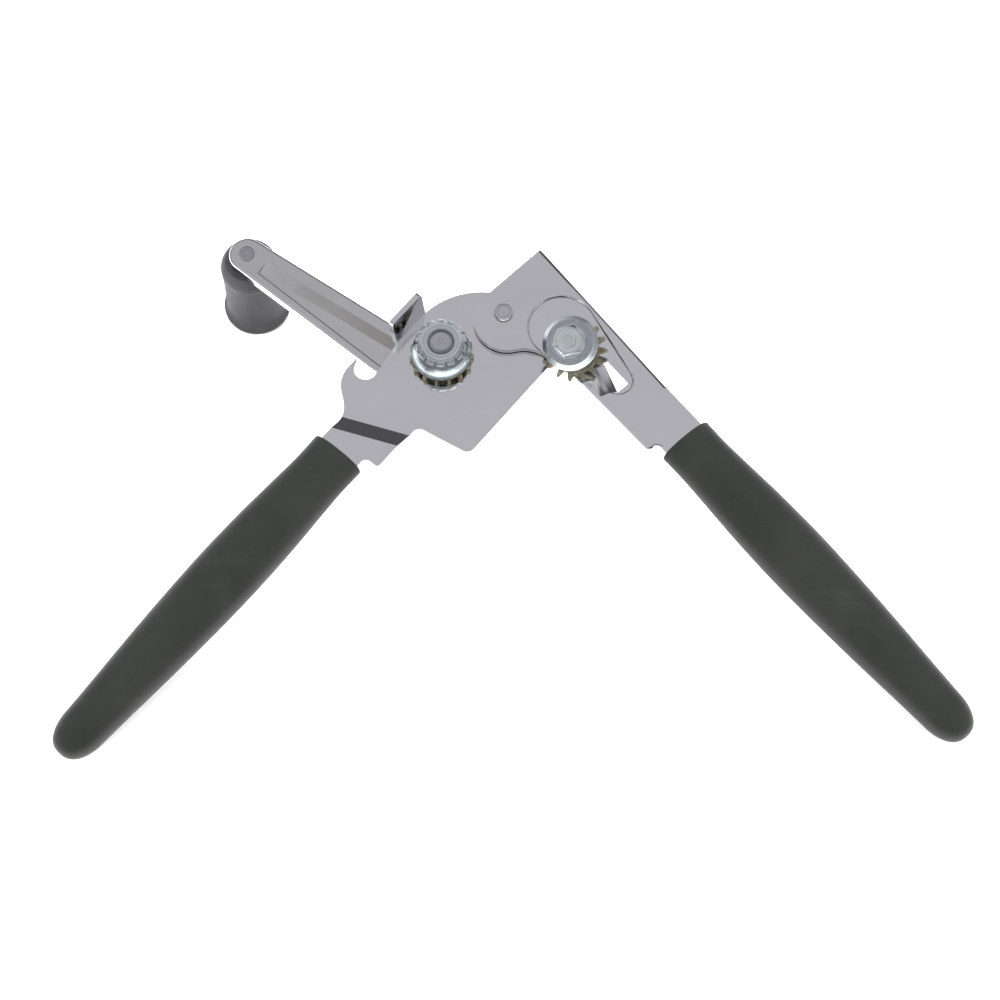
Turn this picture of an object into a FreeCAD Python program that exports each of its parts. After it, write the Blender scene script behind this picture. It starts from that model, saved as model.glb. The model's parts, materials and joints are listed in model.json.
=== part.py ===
import FreeCAD, Part
import math
import os
import re
import Sketcher

# Hand-crank can opener with long sleeve-gripped handles, millimetres.
#
# Working frame: the handle pivot stands at X = Y = 0 and Z = 0 is the near face of the
# drive plate. +Z points out of the cutting side, the crank and its knob hang on the -Z side.
# Each handle has its own flat frame: X runs from the pivot along the handle and Y is 90
# degrees to the left of that. At the end the whole opener is shifted so that the origin is
# the centre of the underside of its bounding box.

SIZES = [
    # handles and opening
    ("drive_heading", -130.1, "heading of the drive handle, degrees from +X"),
    ("cutter_heading", -49.35, "heading of the cutter handle, degrees from +X"),
    ("close_travel", 70.0, "turn of the cutter handle from this pose until the gears mesh"),
    # sheet metal
    ("drive_sheet", 2.0, "drive plate thickness"),
    ("cutter_sheet", 2.2, "cutter plate thickness"),
    ("plate_gap", 0.5, "thickness of the washer between the plates"),
    ("tang_width", 17.0, "width of both handle tangs"),
    ("tang_end", 172.0, "distance of the tang ends from the pivot"),
    ("drive_tang_mid", -9.9, "sideways place of the drive tang"),
    ("cutter_tang_mid", 17.0, "sideways place of the cutter tang"),
    # pivot
    ("pivot_radius", 2.5, "pivot rivet shank"),
    ("pivot_head_radius", 3.45, "pivot rivet head on the cutting side"),
    ("pivot_head_height", 1.2, "pivot rivet head height"),
    ("pivot_back_radius", 4.6, "pivot rivet head on the crank side"),
    ("pivot_washer_radius", 7.0, "washer between the plates"),
    ("running_gap", 0.06, "radial clearance of every turning fit"),
    ("side_gap", 0.1, "axial clearance of every turning fit"),
    # drive plate outline
    ("head_end", -8.5, "end of the drive plate behind the pivot"),
    ("head_arc", 29.5, "radius of the rounded head edge"),
    ("head_shoulder", 12.0, "end of the head on the cutter side"),
    ("chin_side", 25.6, "straight inner edge of the drive plate"),
    ("chin_near", -2.0, "start of the straight inner edge"),
    ("chin_far", 49.6, "end of the straight inner edge"),
    ("waist_x", 53.6, "place where the chin meets the neck"),
    ("neck_side", 4.5, "inner edge of the neck"),
    ("neck_end", 75.4, "end of the neck at the sleeve"),
    ("tab_near", 17.4, "rim tab, end nearest the pivot"),
    ("tab_far", 33.3, "rim tab, far end"),
    ("tab_side", 22.9, "distance of the tab face from the handle line"),
    ("tab_height", 13.5, "height of the rim tab above the plate"),
    ("tab_lean", 1.4, "outward lean of the rim tab over its height"),
    ("tab_corner", 1.2, "rounding of the rim tab"),
    ("hook_notch_x", 48.5, "bottle notch centre along the handle"),
    ("hook_notch_y", -24.9, "bottle notch centre across the handle"),
    ("hook_notch_radius", 4.3, "bottle notch radius"),
    ("hook_tip_x", 47.6, "tip of the hook"),
    ("hook_back_x", 57.5, "outer corner of the hook"),
    ("hook_side", -30.3, "outer edge of the hook"),
    ("hook_root_x", 66.5, "where the hook leaves the tang edge"),
    ("hook_bend", 11.0, "radius of both bends of the hook"),
    ("joggle_turn", 23.5, "turn of the joggle line away from square"),
    ("joggle_start", 55.0, "start of the joggle slope"),
    ("joggle_run", 6.0, "length of the joggle slope"),
    ("back_corner", 6.0, "rounding of the hidden head corners"),
    ("chin_corner", 3.0, "rounding of the chin"),
    ("neck_corner", 1.2, "rounding of the neck corner at the sleeve"),
    ("mouth_corner", 2.3, "hollow rounding between neck and tang"),
    # cutter plate outline
    ("butt_end", -10.9, "square end of the cutter plate"),
    ("flange_side_near", 28.1, "outer edge at the square end"),
    ("flange_side_far", 26.3, "outer edge where the flange stops"),
    ("flange_far", 60.8, "end of the back flange"),
    ("flange_depth", 4.2, "depth of the back flange below the plate"),
    ("flange_bend", 1.9, "outside radius of the flange bend"),
    ("lobe_x", 2.8, "centre of the pivot lobe along the handle"),
    ("lobe_y", -0.6, "centre of the pivot lobe across the handle"),
    ("relief_gap", 0.8, "gap left round the drive gear when the handles close"),
    ("blade_side_near", 3.4, "inner edge beside the cutter"),
    ("blade_near", 34.0, "where the inner edge turns straight"),
    ("blade_side_far", 4.2, "inner edge at the neck"),
    ("blade_far", 75.0, "end of the inner edge"),
    ("blade_bevel", 0.7, "coined bevel along the inner edge"),
    ("dish_x", 18.0, "dished recess, large end along the handle"),
    ("dish_y", 12.8, "dished recess, large end across the handle"),
    ("dish_radius", 12.1, "dished recess, large end radius"),
    ("dish_tip_x", 47.0, "dished recess, small end along the handle"),
    ("dish_tip_y", 14.3, "dished recess, small end across the handle"),
    ("dish_tip_radius", 5.2, "dished recess, small end radius"),
    ("dish_depth", 1.6, "deepest part of the dished recess"),
    ("dish_slope", 1.5, "slope of the recess floor, degrees"),
    ("dish_edge", 0.8, "rounding of the recess edge"),
    ("window_near", 38.9, "pierced window, end nearest the pivot"),
    ("window_far", 50.4, "pierced window, far end"),
    ("window_side", 16.4, "pierced window, outer edge"),
    ("window_ramp", 7.0, "width of the coined ramp beside the window"),
    ("window_turn", -18.0, "turn of the ramp edge, degrees"),
    ("window_mid_y", 13.3, "middle of the ramp edge across the handle"),
    ("window_ramp_bend", 16.0, "radius of the hollow ramp"),
    # drive train
    ("feed_reach", 27.75, "pivot to crank shaft"),
    ("feed_bearing", -14.4, "bearing of the crank shaft from the drive handle line"),
    ("shaft_radius", 4.0, "crank shaft"),
    ("shaft_end_radius", 3.6, "peened end of the crank shaft"),
    ("bush_radius", 5.2, "bush in the drive plate"),
    ("bush_flange_radius", 7.5, "bush flange"),
    ("bush_flange_height", 1.2, "bush flange thickness"),
    ("thrust_washer_height", 0.3, "washer between drive plate and drive gear"),
    ("teeth", 15, "teeth on each gear"),
    ("module_size", 1.4, "gear module"),
    ("addendum", 1.3, "tooth height above the pitch circle"),
    ("dedendum", 1.7, "tooth depth below the pitch circle"),
    ("tooth_root", 1.2, "half thickness of a tooth at its root"),
    ("tooth_pitch", 0.86, "half thickness of a tooth on the pitch circle"),
    ("tooth_tip", 0.42, "half thickness of a tooth at its tip"),
    ("drive_gear_height", 2.6, "drive gear thickness"),
    ("collar_neck", 0.15, "neck between drive gear and collar"),
    ("collar_height", 7.55, "feed collar height above its neck"),
    ("collar_radius", 10.9, "feed collar at its wide end"),
    ("collar_waist", 8.4, "feed collar at its waist"),
    ("feed_height", 2.9, "feed wheel thickness"),
    ("feed_radius", 9.2, "feed wheel over its teeth"),
    ("feed_face_radius", 7.2, "flat face of the feed wheel"),
    ("feed_teeth", 14, "teeth on the feed wheel"),
    ("feed_notch", 1.5, "depth of the feed wheel notches"),
    ("feed_sink_radius", 5.15, "countersink round the shaft end"),
    # cutter stack
    ("cutter_reach", 30.36, "pivot to cutter gear centre"),
    ("cutter_bearing", 18.43, "bearing of the cutter from the cutter handle line"),
    ("cutter_tilt", 15.5, "tilt of the cutter axle, degrees"),
    ("cutter_lean", -80.0, "direction of that tilt in the handle frame, degrees"),
    ("cutter_gear_z", 4.45, "height of the cutter gear centre"),
    ("cutter_gear_height", 2.0, "cutter gear thickness"),
    ("boss_radius", 5.5, "tilted boss under the cutter gear"),
    ("gear_pocket_gap", 0.35, "gap between the cutter gear and the pocket cut for it"),
    ("axle_radius", 2.6, "cutter axle"),
    ("spring_washer_height", 0.5, "spring washer under the cutter gear"),
    ("sleeve_radius", 5.2, "sleeve between cutter gear and cutting wheel"),
    ("seat_radius", 4.0, "seat of the cutter gear and the cutting wheel on their sleeve"),
    ("wheel_height", 12.1, "gear centre to the cutting edge along the axle"),
    ("wheel_radius", 10.15, "cutting wheel radius"),
    ("wheel_face_radius", 8.5, "flat face of the cutting wheel"),
    ("wheel_thickness", 1.9, "cutting wheel thickness"),
    ("wheel_washer_radius", 6.1, "washer under the nut"),
    ("wheel_washer_height", 0.6, "washer under the nut"),
    ("nut_flats", 10.4, "hex nut across flats"),
    ("nut_height", 2.6, "hex nut height"),
    ("axle_stand", 0.7, "cutter axle beyond the nut"),
    # crank
    ("crank_length", 88.5, "crank shaft to knob pin"),
    ("crank_bearing", 147.0, "direction of the crank from +X"),
    ("crank_level", 13.5, "crank face below the drive plate face"),
    ("crank_sheet", 1.6, "crank arm sheet thickness"),
    ("crank_wall", 4.4, "crank arm channel height"),
    ("crank_tip_radius", 6.8, "crank arm end round the knob pin"),
    ("crank_hub_radius", 11.0, "crank arm end round the shaft"),
    ("crank_upper_side", 5.6, "crank arm straight upper edge"),
    ("crank_belly_x", 18.0, "widest place of the crank arm"),
    ("crank_belly_y", 14.0, "widest place of the crank arm"),
    ("panel_near", 14.0, "pressed panel, end nearest the shaft"),
    ("panel_far", 80.5, "pressed panel, far end"),
    ("panel_upper", -1.2, "pressed panel, top of its sloping side"),
    ("panel_floor", 3.0, "pressed panel, foot of its sloping side"),
    ("panel_lower", 11.4, "pressed panel, lower side near the shaft"),
    ("panel_depth", 0.9, "pressed panel depth"),
    ("panel_edge", 0.6, "rounding of the pressed panel's lower edge"),
    ("hub_sleeve_radius", 6.6, "spacer tube on the crank shaft"),
    ("wave_height", 1.0, "height of the conical spring washer"),
    ("shaft_head_radius", 5.6, "riveted end of the crank shaft"),
    ("shaft_head_height", 1.2, "riveted end of the crank shaft"),
    ("crank_washer_radius", 7.2, "washer under the riveted shaft end"),
    ("crank_washer_height", 1.0, "washer under the riveted shaft end"),
    # knob
    ("knob_pin_radius", 2.3, "knob pin"),
    ("knob_pin_head_radius", 2.9, "formed head of the knob pin on the crank face"),
    ("knob_pin_head_height", 0.9, "formed head of the knob pin on the crank face"),
    ("knob_spacer_radius", 4.1, "spacer between crank arm and knob"),
    ("knob_clear", 1.0, "knob face below the crank channel"),
    ("knob_length", 40.0, "knob length"),
    ("knob_face_radius", 8.8, "knob end next to the crank"),
    ("knob_body_radius", 11.4, "knob body above its flare"),
    ("knob_shoulder_radius", 10.9, "knob body below its shoulder"),
    ("knob_shoulder", 8.0, "height of the rounded shoulder next to the crank"),
    ("knob_flare", 6.5, "height of the flare at the free end"),
    ("knob_rim_height", 2.0, "straight rim of the flare"),
    ("knob_rim_radius", 13.0, "flared free end of the knob"),
    ("knob_well_radius", 6.5, "well in the free end of the knob"),
    ("knob_well_depth", 7.0, "well in the free end of the knob"),
    ("pin_tail_radius", 4.3, "pin head inside the knob"),
    ("pin_tail_height", 2.2, "pin head inside the knob"),
    ("knob_washer_radius", 5.4, "washer under the pin head inside the knob"),
    ("knob_washer_height", 1.0, "washer under the pin head inside the knob"),
    # grips
    ("grip_mouth", 80.0, "distance of the sleeve mouth from the pivot"),
    ("grip_length", 145.0, "sleeve length"),
    ("grip_mouth_width", 21.3, "sleeve width at the mouth"),
    ("grip_neck_width", 20.9, "sleeve width just past the mouth"),
    ("grip_belly_width", 24.0, "widest part of the sleeve"),
    ("grip_tail_width", 17.2, "sleeve width near its rounded end"),
    ("grip_mouth_depth", 11.0, "sleeve thickness at the mouth"),
    ("grip_belly_depth", 15.5, "sleeve thickness at the belly"),
    ("grip_tail_depth", 12.6, "sleeve thickness near its rounded end"),
    ("slot_gap", 0.05, "clearance of the tang in its sleeve"),
]

doc = FreeCAD.newDocument("can_opener")
sheet = doc.addObject("Spreadsheet::Sheet", "Sizes")
for row, (alias, value, meaning) in enumerate(SIZES, start=1):
    sheet.set(f"A{row}", alias)
    sheet.set(f"B{row}", str(value))
    sheet.setAlias(f"B{row}", alias)
    sheet.set(f"C{row}", meaning)
doc.recompute()

ALIASES = {alias for alias, value, meaning in SIZES}
V = FreeCAD.Vector
Z_AXIS = V(0, 0, 1)


def bound(text):
    """Write an expression of size names so that it reads the sheet."""
    return re.sub(r"[a-z_]+[a-z0-9_]*", lambda m: "Sizes." + m[0] if m[0] in ALIASES else m[0], text)


def size(text):
    """Value of an expression of size names."""
    value = sheet.evalExpression(text)
    return float(getattr(value, "Value", value))


# ---------------------------------------------------------------- derived places
TANG_RISE = "(drive_sheet + plate_gap)"
CUTTER_FACE = "(plate_gap + cutter_sheet)"
GEAR_FOOT = "thrust_washer_height"
GEAR_TOP = "(thrust_washer_height + drive_gear_height)"
COLLAR_FOOT = f"({GEAR_TOP} + collar_neck)"
FEED_FOOT = f"({COLLAR_FOOT} + collar_height)"
FEED_TOP = f"({FEED_FOOT} + feed_height)"
PITCH_RADIUS = "(module_size * teeth / 2)"
TIP_RADIUS = f"({PITCH_RADIUS} + addendum)"
ROOT_RADIUS = f"({PITCH_RADIUS} - dedendum)"
FEED_X = "(feed_reach * cos(feed_bearing))"
FEED_Y = "(feed_reach * sin(feed_bearing))"
CUTTER_X = "(cutter_reach * cos(cutter_bearing))"
CUTTER_Y = "(cutter_reach * sin(cutter_bearing))"
CLOSED_BEARING = "(drive_heading + feed_bearing - cutter_heading + close_travel)"
RELIEF_X = f"(feed_reach * cos({CLOSED_BEARING}))"
RELIEF_Y = f"(feed_reach * sin({CLOSED_BEARING}))"
RELIEF_RADIUS = f"({TIP_RADIUS} + relief_gap)"
WHEEL_TOP = "(wheel_height + wheel_thickness)"
NUT_FOOT = f"({WHEEL_TOP} + side_gap + wheel_washer_height)"
KNOB_FACE = "(crank_level + crank_wall + knob_clear)"


# ---------------------------------------------------------------- drawing helpers
def new_body(name):
    body = doc.addObject("PartDesign::Body", name)
    body.Label = name
    return body


def new_sketch(body, name, role="XY_Plane", lift="0", shift=("0", "0"), turn=None):
    """Sketch on one of the body's own origin planes, lifted along its normal and turned."""
    sketch = body.newObject("Sketcher::SketchObject", f"{body.Label}_{name}")
    plane = next(item for item in body.Origin.OriginFeatures if item.Role == role)
    sketch.AttachmentSupport = [(plane, "")]
    sketch.MapMode = "FlatFace"
    rotation = turn if turn else FreeCAD.Rotation()
    place = V(size(shift[0]), size(shift[1]), size(lift))
    sketch.AttachmentOffset = FreeCAD.Placement(place, rotation)
    if turn is None:
        sketch.setExpression("AttachmentOffset.Base.z", bound(lift))
    return sketch


def pin_point(sketch, curve, end, x, y):
    """Fix one end of a curve at a place given by size expressions."""
    for kind, text in (("DistanceX", x), ("DistanceY", y)):
        index = sketch.addConstraint(Sketcher.Constraint(kind, -1, 1, curve, end, size(text)))
        sketch.setExpression(f"Constraints[{index}]", bound(text))


def arc_between(start, end, radius, bulge):
    """Arc from start to end, bulging to the right of the way (+1) or to the left (-1)."""
    chord = end - start
    half = chord.Length / 2
    side = V(chord.y, -chord.x, 0).normalize() * bulge
    rise = radius - math.sqrt(max(radius * radius - half * half, 0.0))
    return Part.Arc(start, (start + end) / 2 + side * rise, end)


def draw_outline(sketch, steps):
    """Closed outline. A step is (x, y) for a line to there, or (x, y, radius, bulge) for an arc."""
    points = [V(size(step[0]), size(step[1]), 0) for step in steps]
    for number, step in enumerate(steps):
        start = points[number - 1]
        if len(step) == 2:
            curve = sketch.addGeometry(Part.LineSegment(start, points[number]), False)
        else:
            shape = arc_between(start, points[number], size(step[2]), step[3])
            curve = sketch.addGeometry(shape, False)
            index = sketch.addConstraint(Sketcher.Constraint("Radius", curve, size(step[2])))
            sketch.setExpression(f"Constraints[{index}]", bound(step[2]))
        first = 1 if (sketch.getPoint(curve, 1) - start).Length < 1e-6 else 2
        before = steps[number - 1]
        pin_point(sketch, curve, first, before[0], before[1])
        pin_point(sketch, curve, 3 - first, step[0], step[1])


def draw_circle(sketch, x, y, radius):
    circle = Part.Circle(V(size(x), size(y), 0), Z_AXIS, size(radius))
    curve = sketch.addGeometry(circle, False)
    pin_point(sketch, curve, 3, x, y)
    index = sketch.addConstraint(Sketcher.Constraint("Radius", curve, size(radius)))
    sketch.setExpression(f"Constraints[{index}]", bound(radius))


def add_feature(body, kind, name, sketch, length=None, reverse=False, midplane=False, through=False):
    feature = body.newObject(f"PartDesign::{kind}", f"{body.Label}_{name}")
    feature.Profile = sketch
    if length:
        feature.Length = size(length)
        feature.setExpression("Length", bound(length))
    if through:
        feature.Type = "ThroughAll"
    feature.Reversed = reverse
    feature.Midplane = midplane
    sketch.Visibility = False
    doc.recompute()
    return feature


def pad(body, name, sketch, length, **options):
    return add_feature(body, "Pad", name, sketch, length, **options)


def pocket(body, name, sketch, length=None, **options):
    return add_feature(body, "Pocket", name, sketch, length, **options)


def revolve(body, name, steps):
    """Turned piece: outline in (radius, height), spun about the body's Z axis."""
    sketch = new_sketch(body, name, "XZ_Plane")
    draw_outline(sketch, steps)
    feature = body.newObject("PartDesign::Revolution", f"{body.Label}_{name}_turned")
    feature.Profile = sketch
    feature.ReferenceAxis = (sketch, ["V_Axis"])
    feature.Angle = 360
    doc.recompute()
    return feature


def polar(body, name, feature, count):
    pattern = body.newObject("PartDesign::PolarPattern", f"{body.Label}_{name}")
    axis = next(item for item in body.Origin.OriginFeatures if item.Role == "Z_Axis")
    pattern.Originals = [feature]
    pattern.Axis = (axis, [""])
    pattern.Angle = 360
    pattern.Occurrences = int(size(count))
    pattern.setExpression("Occurrences", bound(count))
    body.Tip = pattern
    doc.recompute()
    return pattern


def corners(feature, spots, low, high):
    """Names of the upright edges of a feature that stand at the given spots."""
    names = []
    for number, edge in enumerate(feature.Shape.Edges, start=1):
        box = edge.BoundBox
        upright = box.XLength < 1e-4 and box.YLength < 1e-4 and box.ZLength > 0.2
        if not upright or box.Center.z < low or box.Center.z > high:
            continue
        for x, y in spots:
            if math.hypot(box.Center.x - size(x), box.Center.y - size(y)) < 0.05:
                names.append(f"Edge{number}")
    return names


def edges_where(feature, test):
    return [f"Edge{number}" for number, edge in enumerate(feature.Shape.Edges, start=1) if test(edge)]


def dress(body, kind, name, feature, names, amount):
    """Fillet or chamfer on named edges."""
    dressed = body.newObject(f"PartDesign::{kind}", f"{body.Label}_{name}")
    dressed.Base = (feature, names)
    prop = "Radius" if kind == "Fillet" else "Size"
    setattr(dressed, prop, size(amount))
    dressed.setExpression(prop, bound(amount))
    doc.recompute()
    return dressed


# ---------------------------------------------------------------- frames
def spin(angle):
    return FreeCAD.Placement(V(), FreeCAD.Rotation(Z_AXIS, angle))


DRIVE = spin(size("drive_heading"))
CUTTER = spin(size("cutter_heading"))
FEED_AXIS = FreeCAD.Placement(DRIVE.multVec(V(size(FEED_X), size(FEED_Y), 0)), FreeCAD.Rotation())
LEAN = FreeCAD.Rotation(Z_AXIS, size("cutter_lean"))
AXLE_TURN = LEAN * FreeCAD.Rotation(V(0, 1, 0), size("cutter_tilt")) * LEAN.inverted()
AXLE_LOCAL = FreeCAD.Placement(V(size(CUTTER_X), size(CUTTER_Y), size("cutter_gear_z")), AXLE_TURN)
AXLE = CUTTER * AXLE_LOCAL
CRANK = FEED_AXIS * spin(size("crank_bearing"))
KNOB_AXIS = CRANK * FreeCAD.Placement(V(size("crank_length"), 0, 0), FreeCAD.Rotation())


# ---------------------------------------------------------------- drive handle
def drive_plate():
    """Pressed plate with bottle hook, rim tab and a joggled tang for the sleeve."""
    body = new_body("drive_plate")
    tang_low = "(drive_tang_mid - tang_width / 2)"
    tang_high = "(drive_tang_mid + tang_width / 2)"
    blank = new_sketch(body, "outline", lift="-drive_sheet")
    draw_outline(blank, [
        ("tang_end", tang_low),
        ("hook_root_x", tang_low),
        ("hook_back_x", "hook_side"),
        ("hook_tip_x", "hook_side"),
        ("hook_notch_x", "hook_notch_y - hook_notch_radius"),
        ("hook_notch_x + hook_notch_radius", "hook_notch_y", "hook_notch_radius", 1),
        ("hook_notch_x", "hook_notch_y + hook_notch_radius", "hook_notch_radius", 1),
        ("tab_far", "-tab_side"),
        ("tab_near", "-tab_side"),
        ("head_end", "0", "head_arc", -1),
        ("head_end", "head_shoulder"),
        ("chin_near", "chin_side"),
        ("chin_far", "chin_side"),
        ("waist_x", "neck_side"),
        ("neck_end", "neck_side"),
        ("neck_end", tang_high),
        ("tang_end", tang_high),
    ])
    plate = pad(body, "blank", blank, f"drive_sheet + {TANG_RISE}")
    rounded = [
        ("hook_bend", [("hook_root_x", tang_low), ("hook_back_x", "hook_side")]),
        ("back_corner", [("head_end", "head_shoulder"), ("chin_near", "chin_side")]),
        ("chin_corner", [("chin_far", "chin_side"), ("waist_x", "neck_side")]),
        ("neck_corner", [("neck_end", "neck_side")]),
        ("mouth_corner", [("neck_end", tang_high)]),
    ]
    for radius, spots in rounded:
        plate = dress(body, "Fillet", radius, plate, corners(plate, spots, -10, 10), radius)

    # The blank is cut down from both sides so that one sheet is left, with its joggle.
    slope_turn = FreeCAD.Rotation(V(0, 1, 0), size("joggle_turn"))
    shift = f"drive_sheet * tan(atan({TANG_RISE} / joggle_run) / 2)"
    above = new_sketch(body, "above", "XZ_Plane", turn=slope_turn)
    draw_outline(above, [
        ("-tang_end", "0"),
        ("joggle_start", "0"),
        ("joggle_start + joggle_run", TANG_RISE),
        ("joggle_start + joggle_run", f"2 * {TANG_RISE}"),
        ("-tang_end", f"2 * {TANG_RISE}"),
    ])
    pocket(body, "above_cut", above, midplane=True, through=True)
    below = new_sketch(body, "below", "XZ_Plane", turn=slope_turn)
    draw_outline(below, [
        (f"joggle_start + {shift}", "-drive_sheet"),
        (f"joggle_start + joggle_run + {shift}", "plate_gap"),
        ("2 * tang_end", "plate_gap"),
        ("2 * tang_end", "-2 * drive_sheet"),
        (f"joggle_start + {shift}", "-2 * drive_sheet"),
    ])
    pocket(body, "below_cut", below, midplane=True, through=True)

    tab = new_sketch(body, "tab", "YZ_Plane", lift="tab_near")
    tab_face = "(-tab_side - tab_lean)"
    draw_outline(tab, [
        ("-tab_side", "0"),
        (tab_face, "tab_height"),
        (f"{tab_face} - drive_sheet", "tab_height"),
        ("-tab_side - drive_sheet", "-drive_sheet"),
        ("-tab_side + drive_sheet", "-drive_sheet"),
        ("-tab_side + drive_sheet", "0"),
    ])
    tab_pad = pad(body, "tab_pad", tab, "tab_far - tab_near")
    outer_foot = size("-tab_side - drive_sheet")
    bend = edges_where(tab_pad, lambda edge: edge.BoundBox.XLength > 5
                       and abs(edge.BoundBox.Center.y - outer_foot) < 0.01
                       and abs(edge.BoundBox.Center.z + size("drive_sheet")) < 0.01)
    tab_bend = dress(body, "Fillet", "tab_bend", tab_pad, bend, "drive_sheet * 0.8")
    tips = edges_where(tab_bend, lambda edge: edge.BoundBox.YLength > 1
                       and edge.BoundBox.ZLength < 0.01
                       and abs(edge.BoundBox.Center.z - size("tab_height")) < 0.01)
    dress(body, "Fillet", "tab_tips", tab_bend, tips, "tab_corner")

    holes = new_sketch(body, "holes")
    draw_circle(holes, "0", "0", "pivot_radius")
    draw_circle(holes, FEED_X, FEED_Y, "bush_radius")
    pocket(body, "drilled", holes, midplane=True, through=True)
    body.Placement = DRIVE
    return body


def grip(name, frame, tang_mid, tang_sheet):
    """Rubber sleeve with an oval section that narrows to a rounded end."""
    body = new_body(name)
    tang_level = f"(plate_gap + {tang_sheet} / 2)"
    tail_start = 0.91
    stations = [
        (0.0, "grip_mouth_width", "grip_mouth_depth"),
        (0.08, "grip_neck_width", "(grip_mouth_depth * 0.6 + grip_belly_depth * 0.4)"),
        (0.2, "(grip_neck_width + grip_belly_width) / 2", "grip_belly_depth * 0.97"),
        (0.36, "grip_belly_width", "grip_belly_depth"),
        (0.52, "(grip_belly_width * 0.85 + grip_tail_width * 0.15)", "grip_belly_depth * 0.99"),
        (0.72, "(grip_belly_width * 0.5 + grip_tail_width * 0.5)",
         "(grip_belly_depth * 0.5 + grip_tail_depth * 0.5)"),
        (tail_start, "grip_tail_width", "grip_tail_depth"),
    ]
    for turn in (30, 52, 68, 80):
        reach = tail_start + (1 - tail_start) * math.sin(math.radians(turn))
        share = round(math.cos(math.radians(turn)) ** 0.8, 3)
        stations.append((reach, f"grip_tail_width * {share}", f"grip_tail_depth * {share}"))
    sections = []
    for number, (share, width, depth) in enumerate(stations):
        place = f"grip_mouth + grip_length * {round(share, 4)}"
        section = new_sketch(body, f"section_{number}", "YZ_Plane", lift=place)
        half_width = f"({width}) / 2"
        half_depth = f"({depth}) / 2"
        middle = V(size(tang_mid), size(tang_level), 0)
        oval = Part.Ellipse(middle + V(size(half_width), 0, 0), middle + V(0, size(half_depth), 0), middle)
        curve = section.addGeometry(oval, False)
        section.exposeInternalGeometry(curve)
        pin_point(section, curve + 1, 1, f"{tang_mid} + {half_width}", tang_level)
        pin_point(section, curve + 1, 2, f"{tang_mid} - {half_width}", tang_level)
        index = section.addConstraint(
            Sketcher.Constraint("DistanceY", -1, 1, curve + 2, 1, size(f"{tang_level} + {half_depth}")))
        section.setExpression(f"Constraints[{index}]", bound(f"{tang_level} + {half_depth}"))
        sections.append(section)
    sleeve = body.newObject("PartDesign::AdditiveLoft", f"{name}_loft")
    sleeve.Profile = sections[0]
    sleeve.Sections = sections[1:]
    doc.recompute()
    slot = new_sketch(body, "slot", "YZ_Plane", lift="grip_mouth")
    half = "(tang_width / 2 + slot_gap)"
    rise = f"({tang_sheet} / 2 + slot_gap)"
    draw_outline(slot, [
        (f"{tang_mid} - {half}", f"{tang_level} - {rise}"),
        (f"{tang_mid} + {half}", f"{tang_level} - {rise}"),
        (f"{tang_mid} + {half}", f"{tang_level} + {rise}"),
        (f"{tang_mid} - {half}", f"{tang_level} + {rise}"),
    ])
    pocket(body, "slot_cut", slot, "tang_end - grip_mouth + slot_gap", reverse=True)
    body.Placement = frame
    return body


def turned_piece(name, frame, steps):
    body = new_body(name)
    revolve(body, "profile", steps)
    body.Placement = frame
    return body


def pivot_rivet():
    foot = "(-drive_sheet - pivot_head_height)"
    seat = f"({CUTTER_FACE} + side_gap)"
    top = f"({seat} + pivot_head_height)"
    edge = "pivot_head_height / 2"
    return turned_piece("pivot_rivet", FreeCAD.Placement(), [
        ("0", foot),
        (f"pivot_back_radius - {edge}", foot),
        ("pivot_back_radius", f"{foot} + {edge}", edge, 1),
        ("pivot_back_radius", "-drive_sheet"),
        ("pivot_radius", "-drive_sheet"),
        ("pivot_radius", seat),
        ("pivot_head_radius", seat),
        ("pivot_head_radius", f"{top} - {edge}"),
        (f"pivot_head_radius - {edge}", top, edge, 1),
        ("0", top),
    ])


def ring(name, frame, inner, outer, low, high):
    """Plain washer, tube or bush."""
    return turned_piece(name, frame, [
        (inner, low),
        (outer, low),
        (outer, high),
        (inner, high),
    ])


def cone_washer(name, frame, inner, outer, low, high):
    """Conical spring washer, half as thick as it is high."""
    lift = f"(({high}) - ({low})) / 2"
    return turned_piece(name, frame, [
        (inner, low),
        (outer, f"{low} + {lift}"),
        (outer, high),
        (inner, f"{high} - {lift}"),
    ])


def drive_bush():
    flange = "(-drive_sheet - bush_flange_height)"
    bore = "shaft_radius + running_gap"
    return turned_piece("drive_bush", FEED_AXIS, [
        (bore, flange),
        ("bush_flange_radius", flange),
        ("bush_flange_radius", "-drive_sheet"),
        ("bush_radius", "-drive_sheet"),
        ("bush_radius", "0"),
        (bore, "0"),
    ])


# ---------------------------------------------------------------- drive train
def gear(name, frame, low, height, bore):
    """Spur gear: a disc at the root circle, one tooth, and the tooth repeated."""
    body = new_body(name)
    disc = new_sketch(body, "disc", lift=low)
    draw_circle(disc, "0", "0", ROOT_RADIUS)
    pad(body, "disc_pad", disc, height)
    tooth = new_sketch(body, "tooth", lift=low)
    draw_outline(tooth, [
        (f"{ROOT_RADIUS} - dedendum", "-tooth_root"),
        (f"{ROOT_RADIUS}", "-tooth_root"),
        (PITCH_RADIUS, "-tooth_pitch"),
        (TIP_RADIUS, "-tooth_tip"),
        (TIP_RADIUS, "tooth_tip"),
        (PITCH_RADIUS, "tooth_pitch"),
        (f"{ROOT_RADIUS}", "tooth_root"),
        (f"{ROOT_RADIUS} - dedendum", "tooth_root"),
    ])
    one_tooth = pad(body, "tooth_pad", tooth, height)
    polar(body, "teeth_round", one_tooth, "teeth")
    hole = new_sketch(body, "bore", lift=low)
    draw_circle(hole, "0", "0", bore)
    pocket(body, "bored", hole, midplane=True, through=True)
    body.Placement = frame
    return body


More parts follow.
